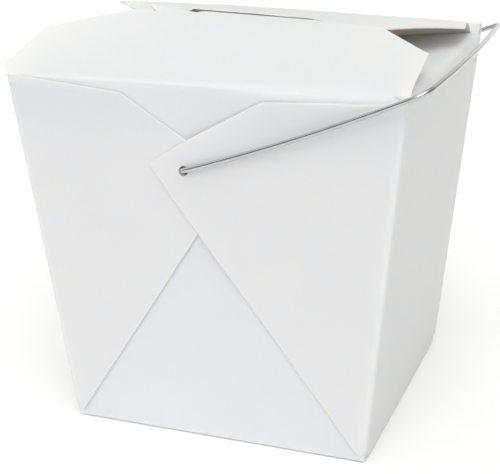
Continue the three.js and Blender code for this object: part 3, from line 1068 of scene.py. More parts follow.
@dataclass
class Wrap:
    """One plain wall with its two gussets, which fold flat over the front and the back wall.

    It is worked out for the right wall, whose front gusset is the upper one. The left wall is the same
    piece of board turned half round. Places round a wrap are distances from the middle of its front corner.

    Attributes:
        sizes: The pail's sizes.
        warp: The waves of its panels.
        side: Which plain wall it makes.
        grid: Distance between the mesh's lines.
        flap_fold: Radius of the fold to the side flap.
        flap_level: Height of the side flap at that fold.
        flap_fall: How far the side flap falls inwards, in radians.
        flap_length: How far it reaches in.
        flap_half_hinge: Half the length of its fold.
        corner_reach: How far from the upright corners the fold takes to start.
        corner_tuck: How far the foot of an upright corner is drawn in.
        fold_turn: About how far the board runs round that fold, as a share of its radius.
        tuck_height: Height over which the drawing in fades.
        tuck_reach: Distance round the wrap over which it fades.
        tuck_lift: How far it lifts the board for each millimetre that it draws in.
        facing: Least part of the outward direction that counts as facing a wall.
        ear: How far the right wrap's back corner stands up.
        climb: Distance over which the upper gusset climbs over the lower one.
        pressed: How far the two layers are pressed together at the top.
        pressed_from: Height at which that starts.
        pressed_run: Height over which it comes.
        layer_gap: What is left open between the gusset and the wall.
    """

    sizes: PailSizes
    warp: Warp
    side: Side
    grid: float = 3.0
    flap_fold: float = 3.0
    flap_level: float = 104.4
    flap_fall: float = math.radians(1.5)
    flap_length: float = 34.0
    flap_half_hinge: float = 44.2
    corner_reach: float = 1.7
    corner_tuck: float = 1.1
    fold_turn: float = 1.7
    tuck_height: float = 4.5
    tuck_reach: float = 5.0
    tuck_lift: float = 0.5
    facing: float = 0.5
    ear: float = 2.4
    climb: float = 33.0
    pressed: float = 0.45
    pressed_from: float = 82.0
    pressed_run: float = 14.0
    layer_gap: float = 0.05

    def _quarter(self, z: np.ndarray) -> np.ndarray:
        """Half the arc length of an upright corner at a height."""
        return math.pi * self.sizes.corner(z) / 4.0

    def _flat(self, z: np.ndarray) -> np.ndarray:
        """Width of the plain wall between its two corners at a height."""
        return 2.0 * (self.sizes.half_depth(z) - self.sizes.corner(z))

    def front_p(self, x: float, z: float) -> float:
        """Distance round the wrap, from the middle of its front corner, of a point on the front wall."""
        height, s = np.array(z), self.sizes
        return float(-(s.half_width(height) - s.corner(height) - x) - self._quarter(height))

    def side_p(self, y: float, z: float) -> float:
        """Distance round the wrap of a point on the plain wall."""
        height, s = np.array(z), self.sizes
        return float(self._quarter(height) + y + s.half_depth(height) - s.corner(height))

    def back_p(self, x: float, z: float) -> float:
        """Distance round the wrap of a point on the back wall."""
        height, s = np.array(z), self.sizes
        round_corners = 3.0 * self._quarter(height) + self._flat(height)
        return float(round_corners + s.half_width(height) - s.corner(height) - x)

    def back_corner(self, z: np.ndarray) -> np.ndarray:
        """Distance round the wrap of the middle of its back corner, at a height."""
        level = np.clip(z, 0.0, self.sizes.height)
        return 2.0 * self._quarter(level) + self._flat(level)

    def drift(self, u: np.ndarray, z: np.ndarray) -> np.ndarray:
        """How far the grid moves across at a height, so that its lines follow the back corner's slant."""
        top = self.back_corner(np.array(self.sizes.height))
        return np.clip(u / top, 0.0, 1.0) * (self.back_corner(z) - top)

    def _section(
        self, p: np.ndarray, z: np.ndarray
    ) -> tuple[np.ndarray, np.ndarray, np.ndarray, np.ndarray]:
        """Place and outward direction in plan of points round the wrap.

        Args:
            p: Places round the wrap.
            z: Heights.

        Returns:
            X and Y of the place, and X and Y of the direction.
        """
        s = self.sizes
        level = np.clip(z, 0.0, s.height)
        w, d, r, q = s.half_width(level), s.half_depth(level), s.corner(level), self._quarter(level)
        length = 2.0 * (d - r)
        first = (p + q) / r - math.pi / 2.0
        second = (p - q - length) / r
        parts = [p < -q, p < q, p < q + length, p < 3 * q + length]
        front_x = w - r + p + q
        back_x = w - r - (p - 3 * q - length)
        x = np.select(parts, [front_x, w - r + r * np.cos(first), w, w - r + r * np.cos(second)], back_x)
        side_y = -(d - r) + p - q
        y = np.select(parts, [-d, -(d - r) + r * np.sin(first), side_y, d - r + r * np.sin(second)], d)
        ahead = np.full_like(p, math.pi / 2)
        angle = np.select(parts, [-ahead, first, np.zeros_like(p), second], ahead)
        return x, y, np.cos(angle), np.sin(angle)

    def ramp(self, x: np.ndarray, z: np.ndarray) -> np.ndarray:
        """How far the upper gusset stands off the wall, where it climbs over the lower one."""
        s = self.sizes
        tip, foot, shoulder = (np.array(p) for p in (s.tip_lower, s.crease_left, s.shoulder_left))
        up, side = unit(shoulder - tip), unit(tip - foot)
        over = (x - tip[0]) * up[1] - (z - tip[1]) * up[0]
        beside = (x - tip[0]) * side[1] - (z - tip[1]) * side[0]
        away = np.where((over > 0.0) & (beside > 0.0), np.hypot(over, beside), np.maximum(over, beside))
        return s.gusset * (1.0 - smooth(away / self.climb))

    def press(self, z: np.ndarray) -> np.ndarray:
        """How far the two layers of a gusset are pressed together towards its top edge."""
        return self.pressed * smooth((z - self.pressed_from) / self.pressed_run)

    def surface(self, uv: np.ndarray) -> np.ndarray:
        """Place of the wrap's outer face for points round it and up it."""
        s, warp = self.sizes, self.warp
        p, z = uv[:, 0], uv[:, 1]
        fold = s.base_fold
        turn = np.clip((fold - z) / fold, 0.0, math.pi / 2.0)
        curled_in = fold * (1.0 - np.cos(turn))
        height = np.where(z < fold, fold * (1.0 - np.sin(turn)), z)
        x, y, out_x, out_y = self._section(p, height)
        seeds = (warp.front_seed, warp.back_seed)
        front_seed, back_seed = seeds if self.side is Side.RIGHT else seeds[::-1]
        front = warp.wall(x, height, s, front_seed) + self.ramp(x, height)
        back = warp.wall(-x, height, s, back_seed)
        bow = np.where(out_y < -self.facing, front, np.where(out_y > self.facing, back, 0.0))
        gusset_push = (bow - self.press(height)) * smooth(np.abs(out_y))
        plain_bow = warp.plain_wall(y, height, s, warp.plain_seed + self.side.value)
        plain_push = plain_bow * smooth(np.abs(out_x))
        push = np.where(np.abs(out_y) > self.facing, gusset_push, plain_push)
        off_corner = np.minimum(np.abs(p), np.abs(p - 2.0 * s.half_depth(height)))
        tuck = self.corner_tuck * (1.0 - smooth(height / self.tuck_height)) ** 2
        tuck = tuck * (1.0 - smooth(off_corner / self.tuck_reach))
        x = x + out_x * (push - curled_in) - np.sign(x) * tuck
        y = y + out_y * (push - curled_in) - np.sign(y) * tuck
        lifted = s.base_lift * (1.0 - smooth(height / s.base_lift_height))
        height = height + lifted + self.tuck_lift * tuck
        folded_x, folded_z = self._folded(z)
        level = np.clip(z, 0.0, s.height)
        reach = s.half_depth(level) - s.corner(level) - np.abs(y)
        share = np.where(np.abs(out_y) < self.facing, smooth(reach / self.corner_reach), 0.0)
        share = np.where(z > self._fold_start(), share, 0.0)
        x = x * (1.0 - share) + (folded_x + push * (z < self.flap_level)) * share
        height = height * (1.0 - share) + folded_z * share
        turned = float(self.side.value)
        return np.stack([x * turned, y * turned, height], 1)

    def _fold_start(self) -> float:
        """Height at which the plain wall starts to turn in to its side flap."""
        return self.flap_level - self.flap_fold * (1.0 + math.sin(self.sizes.side_lean))

    def _folded(self, z: np.ndarray) -> tuple[np.ndarray, np.ndarray]:
        """X and Z of the plain wall once it turns in over its top fold to the side flap."""
        s, lean = self.sizes, self.sizes.side_lean
        start = self._fold_start()
        along = np.maximum(z - start, 0.0) / math.cos(lean)
        whole = math.pi / 2.0 + lean + self.flap_fall
        turn = np.minimum(along / self.flap_fold, whole)
        x0 = float(s.half_width(np.array(start)))
        centre_x = x0 - self.flap_fold * math.cos(lean)
        centre_z = start + self.flap_fold * math.sin(lean)
        past = np.maximum(along - self.flap_fold * whole, 0.0)
        x = centre_x + self.flap_fold * np.cos(turn - lean) - past * math.cos(self.flap_fall)
        height = centre_z + self.flap_fold * np.sin(turn - lean) - past * math.sin(self.flap_fall)
        return x, height

    def thickness(self, uv: np.ndarray) -> np.ndarray:
        """Two layers of board on the gussets, one on the plain wall and the side flap."""
        s = self.sizes
        p, z = uv[:, 0], np.clip(uv[:, 1], 0.0, s.height)
        q, length = self._quarter(z), self._flat(z)
        on_side = smooth((p + q) / (2 * q)) * smooth((3 * q + length - p) / (2 * q))
        double = s.gusset - self.layer_gap - self.press(uv[:, 1])
        return double + (s.board - double) * on_side

    def wear(self, uv: np.ndarray) -> np.ndarray:
        """1 on the wrap's folds, fading to 0 within a few millimetres."""
        p, z = uv[:, 0], uv[:, 1]
        level = np.clip(z, 0.0, self.sizes.height)
        q, length = self._quarter(level), self._flat(level)
        top = self._fold_start() + self.flap_fold * 0.8
        near = np.min([np.abs(p), np.abs(p - 2 * q - length), np.abs(z), np.abs(z - top)], 0)
        return 1.0 - smooth(near / WEAR_REACH)

    def outline(self) -> list[Corner]:
        """The wrap's outline, anticlockwise seen from outside, from the foot of its front crease on."""
        s = self.sizes
        down = math.cos(s.lean)
        foot = -s.base_fold * (math.pi / 2.0 - 1.0)

        def front(point: tuple[float, float], radius: float, rim: Rim) -> Corner:
            """A corner on the front wall, from its wall point."""
            z = point[1] * down
            return Corner(self.front_p(point[0], z), z, radius, rim)

        def back(point: tuple[float, float], radius: float, rim: Rim) -> Corner:
            """A corner on the back wall, from the front wall's point turned half round."""
            z = point[1] * down
            return Corner(self.back_p(-point[0], z), z, radius, rim)

        edge_z, left_z = s.top_edge_right * down, s.top_edge_left * down
        ear_z = left_z + (self.ear if self.side is Side.RIGHT else 0.0)
        top, half, start = s.top_half_width, self.flap_half_hinge, self._fold_start()
        end = start + (self.flap_fold * self.fold_turn + self.flap_length) * math.cos(s.side_lean)
        flap = [(half + 0.7, start + 2.2, 0.3), (half - 1.0, start + 6.5, 1.0), (half - 10.0, end, 4.0)]
        flap += [(-y, z, radius) for y, z, radius in reversed(flap)]
        return [
            front(s.crease_right, 0.5, Rim.CUT),
            Corner(self.front_p(s.crease_right[0] + 0.4, foot), foot, 0.2),
            Corner(self.back_p(-s.crease_left[0] + 0.4, foot), foot, 0.2),
            back(s.crease_left, 0.5, Rim.FOLD),
            back(s.tip_lower, 0.6, Rim.CUT),
            back(s.shoulder_left, 1.5, Rim.CUT),
            Corner(self.back_p(top - 4.6, left_z - 0.4), left_z - 0.4, 0.4),
            Corner(self.back_p(top - 3.6, ear_z), ear_z, 0.6),
            Corner(self.side_p(s.top_half_depth - 0.5, ear_z - 0.2), ear_z - 0.2, 0.5),
            *(Corner(self.side_p(y, z), z, radius) for y, z, radius in flap),
            Corner(self.side_p(-s.top_half_depth + 0.5, edge_z), edge_z, 0.3),
            Corner(self.front_p(top - 1.2, edge_z), edge_z, 0.4),
            front(s.shoulder_right, 1.2, Rim.CUT),
            front(s.notch, 6.0, Rim.CUT),
            front(s.tip_upper, 0.5, Rim.FOLD),
        ]

    def sheet(self) -> Sheet:
        """The wrap as a sheet, double on its gussets."""
        s = self.sizes
        corners = self.outline()
        us, vs = [corner.u for corner in corners], [corner.v for corner in corners]
        far = float(self.back_corner(np.array(s.height)))
        quarters = [float(self._quarter(np.array(z))) for z in (0.0, s.height)]
        reaches = [quarter * k / 3.0 for quarter in quarters for k in range(-4, 5)]
        arc = [self._fold_start() + self.flap_fold * self.fold_turn * k / 8.0 for k in range(-1, 10)]
        foot = [s.base_fold * k / 4.0 for k in range(-2, 7)]
        u_lines = spaced(min(us), max(us), self.grid, [c + d for c in (0.0, far) for d in reaches])
        v_lines = spaced(min(vs), max(vs), self.grid, arc + foot)
        pivot_x = (s.pivot_x + s.hole_shift[0]) * self.side.value
        up = s.pivot_z + s.hole_shift[1]
        loops = [
            Loop.from_corners(corners, u_lines, v_lines, self.drift),
            Loop.circle(self.front_p(pivot_x, up), up, s.hole_radius),
            Loop.circle(self.back_p(pivot_x, up), up, s.hole_radius),
        ]
        return Sheet(f"wrap_{self.side.name.lower()}", self.surface, loops, u_lines, v_lines,
                     self.thickness, self.wear, groove=0.08, drift=self.drift)


# ---- Bail ----------------------------------------------------------------------------------------


@dataclass
class Bail:
    """The bent wire handle: two stubs in the walls, two legs and the grip between them.

    Attributes:
        sizes: The pail's sizes.
        angle: How far the bail is up from level, in radians.
        radius: The wire's radius.
        reach: From the pivot to the grip.
        bow: How far the grip bows out in its middle.
        half_span: Half the distance between the legs.
        front_bend: Radius of the bend from the front leg to the grip.
        back_bend: The same at the back.
        stub_bend: Radius of the bends from the legs to the stubs.
        stub_start: How far in from a leg its stub starts to be straight.
        stub_end: Distance from the middle at which a stub ends.
        overshoot: How far a stub's bend reaches past the pivot, negative where it stops short.
        leg_bow: How far the front leg bows.
        skew: How much shorter the back leg is.
        sides: Sides of the round wire.
        step: Distance between the mesh's rings.
        arc_step: Most degrees between two points of a bend.
        grip_points: Points on the grip.
        softenings: How often the centre line is smoothed.
        end_taper: Radius of the wire's very ends, as a share of its own.
    """

    sizes: PailSizes
    angle: float
    radius: float = 0.7
    reach: float = 70.5
    bow: float = 1.7
    half_span: float = 48.1
    front_bend: float = 4.0
    back_bend: float = 3.2
    stub_bend: float = 1.2
    stub_end: float = 42.6
    overshoot: float = -0.2
    leg_bow: float = -1.05
    skew: float = 0.3
    sides: int = 24
    step: float = 0.45
    stub_start: float = 2.2
    arc_step: float = 7.0
    grip_points: int = 39
    softenings: int = 4
    end_taper: float = 0.75

    def _turn(
        self, centre: tuple[float, float], radius: float, start: float, end: float
    ) -> list[np.ndarray]:
        """Points of an arc in the bail's plane, angles in degrees."""
        x, y = centre
        angles = np.radians(np.linspace(start, end, int(abs(end - start) / self.arc_step) + 1))
        return [np.array([x + radius * math.cos(a), y + radius * math.sin(a)]) for a in angles]

    def route(self) -> np.ndarray:
        """The centre line in the bail's plane: x from the pivot axis, y from wall to wall."""
        span, back = self.half_span, self.stub_bend - self.overshoot
        points = [np.array([0.0, -self.stub_end]), np.array([0.0, -span + self.stub_start])]
        points += self._turn((back, -span + self.stub_bend), self.stub_bend, 180.0, 270.0)
        front = self.reach - self.front_bend
        points += self._turn((front, -span + self.front_bend), self.front_bend, -90.0, 0.0)
        inner = span - self.front_bend
        for t in np.linspace(0.0, 1.0, self.grip_points + 2)[1:-1]:
            out = self.reach - self.skew * t + 4.0 * self.bow * t * (1.0 - t)
            points.append(np.array([out, -inner + 2.0 * inner * t]))
        far = self.reach - self.skew - self.back_bend
        points += self._turn((far, span - self.back_bend), self.back_bend, 0.0, 90.0)
        points += self._turn((back, span - self.stub_bend), self.stub_bend, 90.0, 180.0)
        points += [np.array([0.0, span - self.stub_start]), np.array([0.0, self.stub_end])]
        return np.array(points)

    def line(self) -> np.ndarray:
        """The centre line in the pail's frame, evenly stepped and smoothed."""
        route = self.route()
        gaps = np.linalg.norm(np.diff(route, axis=0), axis=1)
        along = np.concatenate([[0.0], np.cumsum(gaps)])
        steps = np.linspace(0.0, along[-1], int(along[-1] / self.step) + 1)
        even = np.stack([np.interp(steps, along, route[:, k]) for k in (0, 1)], 1)
        for _ in range(self.softenings):
            even[1:-1] = (even[:-2] + 2.0 * even[1:-1] + even[2:]) / 4.0
        share = np.clip(even[:, 0] / self.reach, 0.0, 1.0)
        on_front_leg = even[:, 1] < -self.half_span + 1.0
        lift = self.leg_bow * 4.0 * share * (1.0 - share) * on_front_leg
        cos, sin = math.cos(self.angle), math.sin(self.angle)
        x = self.sizes.pivot_x + even[:, 0] * cos - lift * sin
        z = self.sizes.pivot_z + even[:, 0] * sin + lift * cos
        return np.stack([x, even[:, 1], z], 1)

    def build(self, material: bpy.types.Material) -> bpy.types.Object:
        """Makes the wire as a round tube with slightly rounded ends and a UV map along it."""
        line = self.line()
        tangent = unit(np.gradient(line, axis=0))
        reference = np.array([-math.sin(self.angle), 0.0, math.cos(self.angle)])
        side = unit(reference[None, :] - tangent * (tangent @ reference)[:, None])
        other = np.cross(tangent, side)
        angles = np.linspace(0.0, math.tau, self.sides, endpoint=False)
        radii = np.full(len(line), self.radius)
        radii[[0, -1]] = self.radius * self.end_taper
        rings = []
        for middle, a, b, radius in zip(line, side, other, radii):
            rings.append(middle + (a * np.cos(angles)[:, None] + b * np.sin(angles)[:, None]) * radius)
        places = np.concatenate(rings + [line[:1], line[-1:]])
        faces: list[tuple[int, ...]] = []
        n, count = self.sides, len(line)
        for k in range(count - 1):
            for i in range(n):
                j = (i + 1) % n
                faces.append((k * n + i, k * n + j, (k + 1) * n + j, (k + 1) * n + i))
        first, last = count * n, count * n + 1
        for i in range(n):
            j = (i + 1) % n
            faces.append((first, j, i))
            faces.append((last, (count - 1) * n + i, (count - 1) * n + j))
        made = make_mesh("wire_bail", places, faces, [material])
        self._map(made.data, n, count)
        return made

    def _map(self, mesh: bpy.types.Mesh, n: int, count: int) -> None:
        """Adds a UV map that runs round the wire and along it, in millimetres.

        Args:
            mesh: The wire's mesh.
            n: Vertices in a ring.
            count: Number of rings.
        """
        layer = mesh.uv_layers.new(name="wire")
        round_length = math.tau * self.radius
        for polygon in mesh.polygons:
            for loop_index in polygon.loop_indices:
                vertex = mesh.loops[loop_index].vertex_index
                ring, spoke = divmod(vertex, n)
                wraps = polygon.index % n == n - 1 and spoke == 0
                u = (n if wraps else spoke) / n * round_length
                layer.data[loop_index].uv = (u, min(ring, count - 1) * self.step)


# ---- Finishes ------------------------------------------------------------------------------------


@dataclass(frozen=True)
class Noise:
    """A noise texture: how fine it is, how many layers it has and how strong they stay."""

    scale: float
    detail: float
    roughness: float


class Graph:
    """A node tree, with short ways to add and join nodes."""

    def __init__(self, tree: bpy.types.NodeTree) -> None:
        """Takes over a tree.

        Args:
            tree: The tree that nodes are added to.
        """
        self.tree = tree

    def feed(self, socket: bpy.types.NodeSocket, value: object) -> None:
        """Joins an input to another node's socket, or sets it where the value is a constant."""
        if isinstance(value, bpy.types.NodeSocket):
            self.tree.links.new(value, socket)
        else:
            socket.default_value = value

    def add(self, kind: str, *inputs: object, **values: object) -> bpy.types.Node:
        """Adds a node.

        Args:
            kind: The node's type name.
            *inputs: What its first inputs get, in order.
            **values: Properties, and inputs by their socket names with underscores.

        Returns:
            The node.
        """
        node = self.tree.nodes.new(kind)
        for key, value in values.items():
            socket = node.inputs.get(key.replace("_", " "))
            if socket is None:
                setattr(node, key, value)
            else:
                self.feed(socket, value)
        for socket, value in zip(node.inputs, inputs):
            self.feed(socket, value)
        return node

    def noise(self, place: bpy.types.NodeSocket, noise: Noise) -> bpy.types.NodeSocket:
        """Adds a noise texture and gives its value."""
        node = self.add("ShaderNodeTexNoise", Vector=place, Scale=noise.scale, Detail=noise.detail,
                        Roughness=noise.roughness)
        return node.outputs["Fac"]

    def blend(self, share: bpy.types.NodeSocket, first: object, second: object) -> bpy.types.NodeSocket:
        """Adds a blend from a first to a second colour, each a socket or a constant."""
        node = self.add("ShaderNodeMix", data_type="RGBA", Factor=share)
        self.feed(node.inputs[6], first)
        self.feed(node.inputs[7], second)
        return node.outputs[2]

    def spread(self, value: bpy.types.NodeSocket, ends: tuple[float, float]) -> bpy.types.NodeSocket:
        """Adds a change of range, from 0 and 1 to two ends."""
        node = self.add("ShaderNodeMapRange", Value=value, To_Min=ends[0], To_Max=ends[1])
        return node.outputs[0]

    def bump(
        self,
        height: bpy.types.NodeSocket,
        strength: float,
        distance: float,
        under: bpy.types.NodeSocket | None = None,
    ) -> bpy.types.NodeSocket:
        """Adds a bump.

        Args:
            height: The bump's height.
            strength: How much of it counts.
            distance: What a height of one stands for, in metres.
            under: Another bump that it lies on.

        Returns:
            The normal.
        """
        node = self.add("ShaderNodeBump", Strength=strength, Distance=distance, Height=height)
        if under is not None:
            self.feed(node.inputs["Normal"], under)
        return node.outputs[0]


class MaterialGraph(Graph):
    """The node tree of a new material."""

    def __init__(self, name: str) -> None:
        """Starts a material with an output and a principled shader.

        Args:
            name: The material's name.
        """
        self.material = bpy.data.materials.new(name)
        self.material.use_nodes = True
        super().__init__(self.material.node_tree)
        self.shader = self.tree.nodes["Principled BSDF"]

    def set(self, **values: object) -> None:
        """Sets or joins the shader's inputs, underscores for spaces."""
        for key, value in values.items():
            self.feed(self.shader.inputs[key.replace("_", " ")], value)


@dataclass(frozen=True)
class BoardFinish:
    """Bleached board with a thin semi-matt clay coating.

    Attributes:
        name: The material's name.
        tone: Colour of the coating.
        cloud: Colour of the faint clouds in the sheet.
        fold_tone: Colour of the coating where a fold has stretched it.
        roughness: Lowest and highest roughness.
        grain: Depth of the surface grain, in metres.
        clouds: Where the clouds are.
        cracks: Where a stretched coating has opened.
        blotches: Where it is rougher.
        fibres: The grain itself.
        peel: The slow waves of the coating.
    """

    name: str = "coated_board"
    tone: Colour = (0.800, 0.800, 0.800, 1.0)
    cloud: Colour = (0.785, 0.782, 0.786, 1.0)
    fold_tone: Colour = (0.84, 0.84, 0.83, 1.0)
    roughness: tuple[float, float] = (0.42, 0.56)
    grain: float = 0.00002
    clouds: Noise = Noise(42.0, 3.0, 0.55)
    cracks: Noise = Noise(900.0, 4.0, 0.7)
    blotches: Noise = Noise(160.0, 4.0, 0.6)
    fibres: Noise = Noise(1500.0, 3.0, 0.6)
    peel: Noise = Noise(260.0, 2.0, 0.5)

    def build(self) -> bpy.types.Material:
        """Makes the material."""
        g = MaterialGraph(self.name)
        place = g.add("ShaderNodeTexCoord").outputs["Object"]
        mixed = g.blend(g.noise(place, self.clouds), self.tone, self.cloud)
        wear = g.add("ShaderNodeAttribute", attribute_name="wear").outputs["Fac"]
        worn = g.add("ShaderNodeMath", wear, g.noise(place, self.cracks), operation="MULTIPLY")
        g.set(Base_Color=g.blend(worn.outputs[0], mixed, self.fold_tone))
        g.set(Roughness=g.spread(g.noise(place, self.blotches), self.roughness))
        fibres, peel = g.noise(place, self.fibres), g.noise(place, self.peel)
        fine = g.bump(fibres, 0.35, self.grain)
        g.set(Normal=g.bump(peel, 0.5, self.grain * 2.0, fine))
        g.set(Coat_Weight=0.12, Coat_Roughness=0.35, Specular_IOR_Level=0.4, Subsurface_Weight=0.8,
              Subsurface_Radius=(1.0, 0.85, 0.70), Subsurface_Scale=0.001)
        return g.material


COATED = BoardFinish()
# A slightly darker copy of the coated board, used on the two wraps.
DARKER_BOARD = BoardFinish("darker_wrap_board", (0.775, 0.775, 0.78, 1.0), (0.76, 0.758, 0.765, 1.0))
# The board's uncoated inner face: its creamy tint is its own, but it is made lighter than the coated face so
# that the shaded hollows under the flaps come out lighter; that extra lightness is painted light.
UNCOATED_PAINTED_LIGHT = BoardFinish("uncoated_side_painted_light", (0.93, 0.91, 0.89, 1.0), (0.91, 0.89, 0.87, 1.0))


@dataclass(frozen=True)
class CutEdgeFinish:
    """The board's bare core where it has been cut: fibrous, creamier and matt."""

    name: str = "board_cut_edge"
    light: Colour = (0.90, 0.895, 0.87, 1.0)
    dark: Colour = (0.80, 0.79, 0.75, 1.0)
    fibres: Noise = Noise(700.0, 4.0, 0.65)
    fibre_depth: float = 0.00006

    def build(self) -> bpy.types.Material:
        """Makes the material."""
        g = MaterialGraph(self.name)
        fibres = g.noise(g.add("ShaderNodeTexCoord").outputs["Object"], self.fibres)
        g.set(Base_Color=g.blend(fibres, self.light, self.dark))
        g.set(Normal=g.bump(fibres, 0.6, self.fibre_depth), Roughness=0.85, Specular_IOR_Level=0.25)
        return g.material


@dataclass(frozen=True)
class WireFinish:
    """Bright zinc-coated steel wire with fine drawing lines along it."""

    name: str = "galvanised_wire"
    bright: Colour = (0.64, 0.645, 0.65, 1.0)
    dull: Colour = (0.48, 0.485, 0.50, 1.0)
    roughness: tuple[float, float] = (0.07, 0.20)
    stretch: tuple[float, float, float] = (6.0, 0.12, 1.0)
    lines: Noise = Noise(1.0, 5.0, 0.6)
    patches: Noise = Noise(0.35, 3.0, 0.5)
    line_depth: float = 0.00002

    def build(self) -> bpy.types.Material:
        """Makes the material."""
        g = MaterialGraph(self.name)
        uv = g.add("ShaderNodeUVMap", uv_map="wire").outputs["UV"]
        stretched = g.add("ShaderNodeMapping", Vector=uv, Scale=self.stretch).outputs[0]
        lines, patches = g.noise(stretched, self.lines), g.noise(uv, self.patches)
        g.set(Base_Color=g.blend(patches, self.bright, self.dull))
        g.set(Roughness=g.spread(lines, self.roughness))
        g.set(Normal=g.bump(lines, 0.25, self.line_depth), Metallic=1.0)
        return g.material


# ---- Studio --------------------------------------------------------------------------------------


@dataclass(frozen=True)
class Glow:
    """A soft bright patch of the surround, like a large softbox seen out of focus.

    Attributes:
        azimuth: Degrees round from straight in front of the pail, towards its right.
        elevation: Degrees above the horizon.
        strength: Brightness at its middle.
        sharpness: How fast it fades, higher for a smaller patch.
        tint: Its colour.
    """

    azimuth: float
    elevation: float
    strength: float
    sharpness: float
    tint: tuple[float, float, float] = (1.0, 1.0, 1.0)

    def direction(self) -> Vector:
        """The direction from the pail to the patch's middle."""
        a, e = math.radians(self.azimuth), math.radians(self.elevation)
        return Vector((math.sin(a) * math.cos(e), -math.cos(a) * math.cos(e), math.sin(e)))

    def shader(self, g: Graph, looked: bpy.types.NodeSocket) -> bpy.types.NodeSocket:
        """Adds the patch's light to the sky.

        Args:
            g: The sky's node tree.
            looked: The socket that gives the direction looked in.

        Returns:
            The socket of the patch's background shader.
        """
        facing = g.add("ShaderNodeVectorMath", looked, self.direction(), operation="DOT_PRODUCT")
        ahead = g.add("ShaderNodeMath", facing.outputs["Value"], 0.0, operation="MAXIMUM")
        fade = g.add("ShaderNodeMath", ahead.outputs[0], self.sharpness, operation="POWER")
        colour = (*(self.strength * part for part in self.tint), 1.0)
        return g.add("ShaderNodeBackground", Color=colour, Strength=fade.outputs[0]).outputs[0]


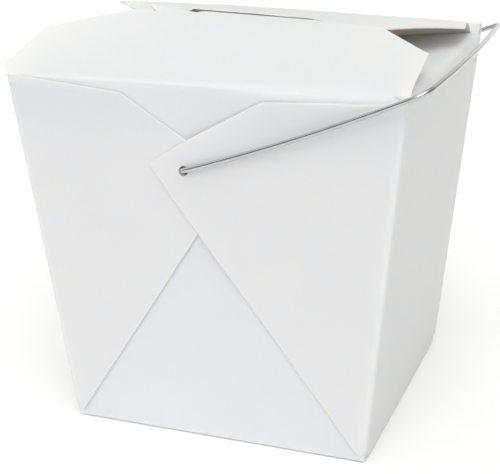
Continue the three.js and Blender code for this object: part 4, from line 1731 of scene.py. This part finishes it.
@dataclass
class Studio:
    """The white floor, the soft light all round and the camera.

    Attributes:
        image_width: Width of the rendered image, in pixels.
        focal_pixels: Focal length, in pixels of that image.
        sensor: Width of the camera's sensor, in millimetres.
        clip: Nearest and furthest distance that the camera sees, in metres.
        place: The camera's place, in metres.
        azimuth: How far it stands round to the right of the front.
        elevation: How far it looks down.
        roll: How far it is tilted to one side.
        floor_half: Half the floor's side, in metres.
        floor_glow: Strength of the floor's own light.
        floor_tone: How light the floor is.
        backdrop: Brightness where the camera looks past the floor.
        glows: The soft patches of light.
    """

    image_width: float = 500.0
    focal_pixels: float = 1165.92
    sensor: float = 36.0
    clip: tuple[float, float] = (0.01, 50.0)
    place: tuple[float, float, float] = (0.121989, -0.314837, 0.170598)
    azimuth: float = math.radians(21.88048669)
    elevation: float = math.radians(20.05303138)
    roll: float = math.radians(-1.75034738)
    floor_half: float = 6.0
    floor_glow: float = 0.05
    floor_tone: float = 0.95
    backdrop: float = 1.05
    glows: tuple[Glow, ...] = (
        Glow(60.0, 80.0, 0.77, 4.0, (1.0, 1.02, 0.97)),
        Glow(-136.0, 28.0, 1.36, 16.0, (1.0, 1.01, 0.99)),
        Glow(-72.0, 45.0, 0.80, 12.0, (1.0, 1.01, 0.99)),
        Glow(24.0, 53.0, 2.97, 8.0, (1.005, 0.998, 0.99)),
        Glow(150.0, 52.0, 0.36, 8.0, (1.01, 1.01, 0.95)),
        Glow(-165.0, 18.0, 0.26, 14.0),
        Glow(-80.0, 18.0, 0.70, 14.0, (1.01, 0.98, 1.03)),
        Glow(0.0, 18.0, 1.00, 14.0, (0.98, 0.97, 1.06)),
        Glow(110.0, 8.0, 0.20, 10.0, (1.06, 0.99, 0.94)),
        Glow(150.0, 18.0, 0.30, 14.0, (1.06, 0.99, 0.94)),
        Glow(178.0, 8.0, 0.95, 22.0),
    )

    def camera(self) -> None:
        """Adds the camera at the view from the front right, a little above."""
        data = bpy.data.cameras.new("camera")
        data.sensor_width = self.sensor
        data.lens = self.focal_pixels / self.image_width * self.sensor
        data.clip_start, data.clip_end = self.clip
        a, e, r = self.azimuth, self.elevation, self.roll
        forward = Vector((-math.sin(a) * math.cos(e), math.cos(a) * math.cos(e), -math.sin(e)))
        level = Vector((math.cos(a), math.sin(a), 0.0))
        up = level.cross(forward)
        right = level * math.cos(r) + up * math.sin(r)
        upright = up * math.cos(r) - level * math.sin(r)
        made = bpy.data.objects.new("camera", data)
        rotation = Matrix((right, upright, -forward)).transposed().to_4x4()
        made.matrix_world = Matrix.Translation(self.place) @ rotation
        bpy.context.scene.collection.objects.link(made)
        bpy.context.scene.camera = made

    def floor(self) -> None:
        """Adds the white floor, bright enough to wash out all but the closest shadow."""
        g = MaterialGraph("white_floor")
        g.set(Base_Color=(*(self.floor_tone,) * 3, 1.0), Roughness=0.9, Specular_IOR_Level=0.0,
              Emission_Color=WHITE, Emission_Strength=self.floor_glow)
        h = self.floor_half / MM
        corners = np.array([[-h, -h, 0.0], [h, -h, 0.0], [h, h, 0.0], [-h, h, 0.0]])
        made = make_mesh("floor", corners, [(0, 1, 2, 3)], [g.material])

    def sky(self) -> None:
        """Adds the light all round, a sum of soft patches, and plain white where the camera looks past."""
        world = bpy.data.worlds.new("surround")
        bpy.context.scene.world = world
        world.use_nodes = True
        g = Graph(world.node_tree)
        g.tree.nodes.clear()
        looked = g.add("ShaderNodeTexCoord").outputs["Generated"]
        light = self.glows[0].shader(g, looked)
        for glow in self.glows[1:]:
            both = g.add("ShaderNodeAddShader", light)
            g.feed(both.inputs[1], glow.shader(g, looked))
            light = both.outputs[0]
        seen = g.add("ShaderNodeBackground", Color=WHITE, Strength=self.backdrop).outputs[0]
        to_camera = g.add("ShaderNodeLightPath").outputs["Is Camera Ray"]
        mix = g.add("ShaderNodeMixShader", to_camera, light, seen)
        g.add("ShaderNodeOutputWorld", Surface=mix.outputs[0])

    def build(self) -> None:
        """Adds everything round the pail."""
        scene = bpy.context.scene
        scene.view_settings.view_transform = "Standard"
        scene.view_settings.look = "None"
        self.camera()
        self.floor()
        self.sky()


# ---- The whole pail ------------------------------------------------------------------------------


@dataclass
class FoodPail:
    """The dressed pail: the folded board in three sheets, and the bail.

    Attributes:
        sizes: The pail's sizes.
        warp: The waves of its panels.
        bail_angle: How far the bail is up from level, in radians.
    """

    sizes: PailSizes
    warp: Warp
    bail_angle: float = math.radians(20.7)

    def build(self) -> list[bpy.types.Object]:
        """Builds every piece and hangs it on its body.

        Returns:
            The pieces, in the order they were made.
        """
        cut = CutEdgeFinish().build()
        inner = UNCOATED_PAINTED_LIGHT.build()
        strip_board = [COATED.build(), cut, inner]
        wrap_board = [DARKER_BOARD.build(), cut, inner]
        closure = Closure(self.sizes)
        sheets = [
            (FoldedStrip(self.sizes, self.warp, closure).sheet(), strip_board),
            (Wrap(self.sizes, self.warp, Side.LEFT).sheet(), wrap_board),
            (Wrap(self.sizes, self.warp, Side.RIGHT).sheet(), wrap_board),
        ]
        pieces = []
        for sheet, board in sheets:
            piece = sheet.build(board)
            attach(piece, "carton")
            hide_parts("carton")
            pieces.append(piece)
        wire = Bail(self.sizes, self.bail_angle).build(WireFinish().build())
        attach(wire, "bail")
        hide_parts("wire_handle")
        return pieces + [wire]


def report(piece: bpy.types.Object) -> None:
    """Logs a finished piece and its size."""
    size = ", ".join(f"{side / MM:.1f}" for side in piece.dimensions)
    LOG.info("%s: %d faces, %s mm", piece.name, len(piece.data.polygons), size)


def main() -> None:
    """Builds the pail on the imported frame, then the studio round it."""
    logging.basicConfig(level=logging.INFO, format="%(name)s %(message)s")
    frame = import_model()
    joint = frame["joints"][0]
    sizes = PailSizes.from_frame(joint)
    for piece in FoodPail(sizes, Warp()).build():
        report(piece)
    Studio().build()


if __name__ == "__main__":
    main()
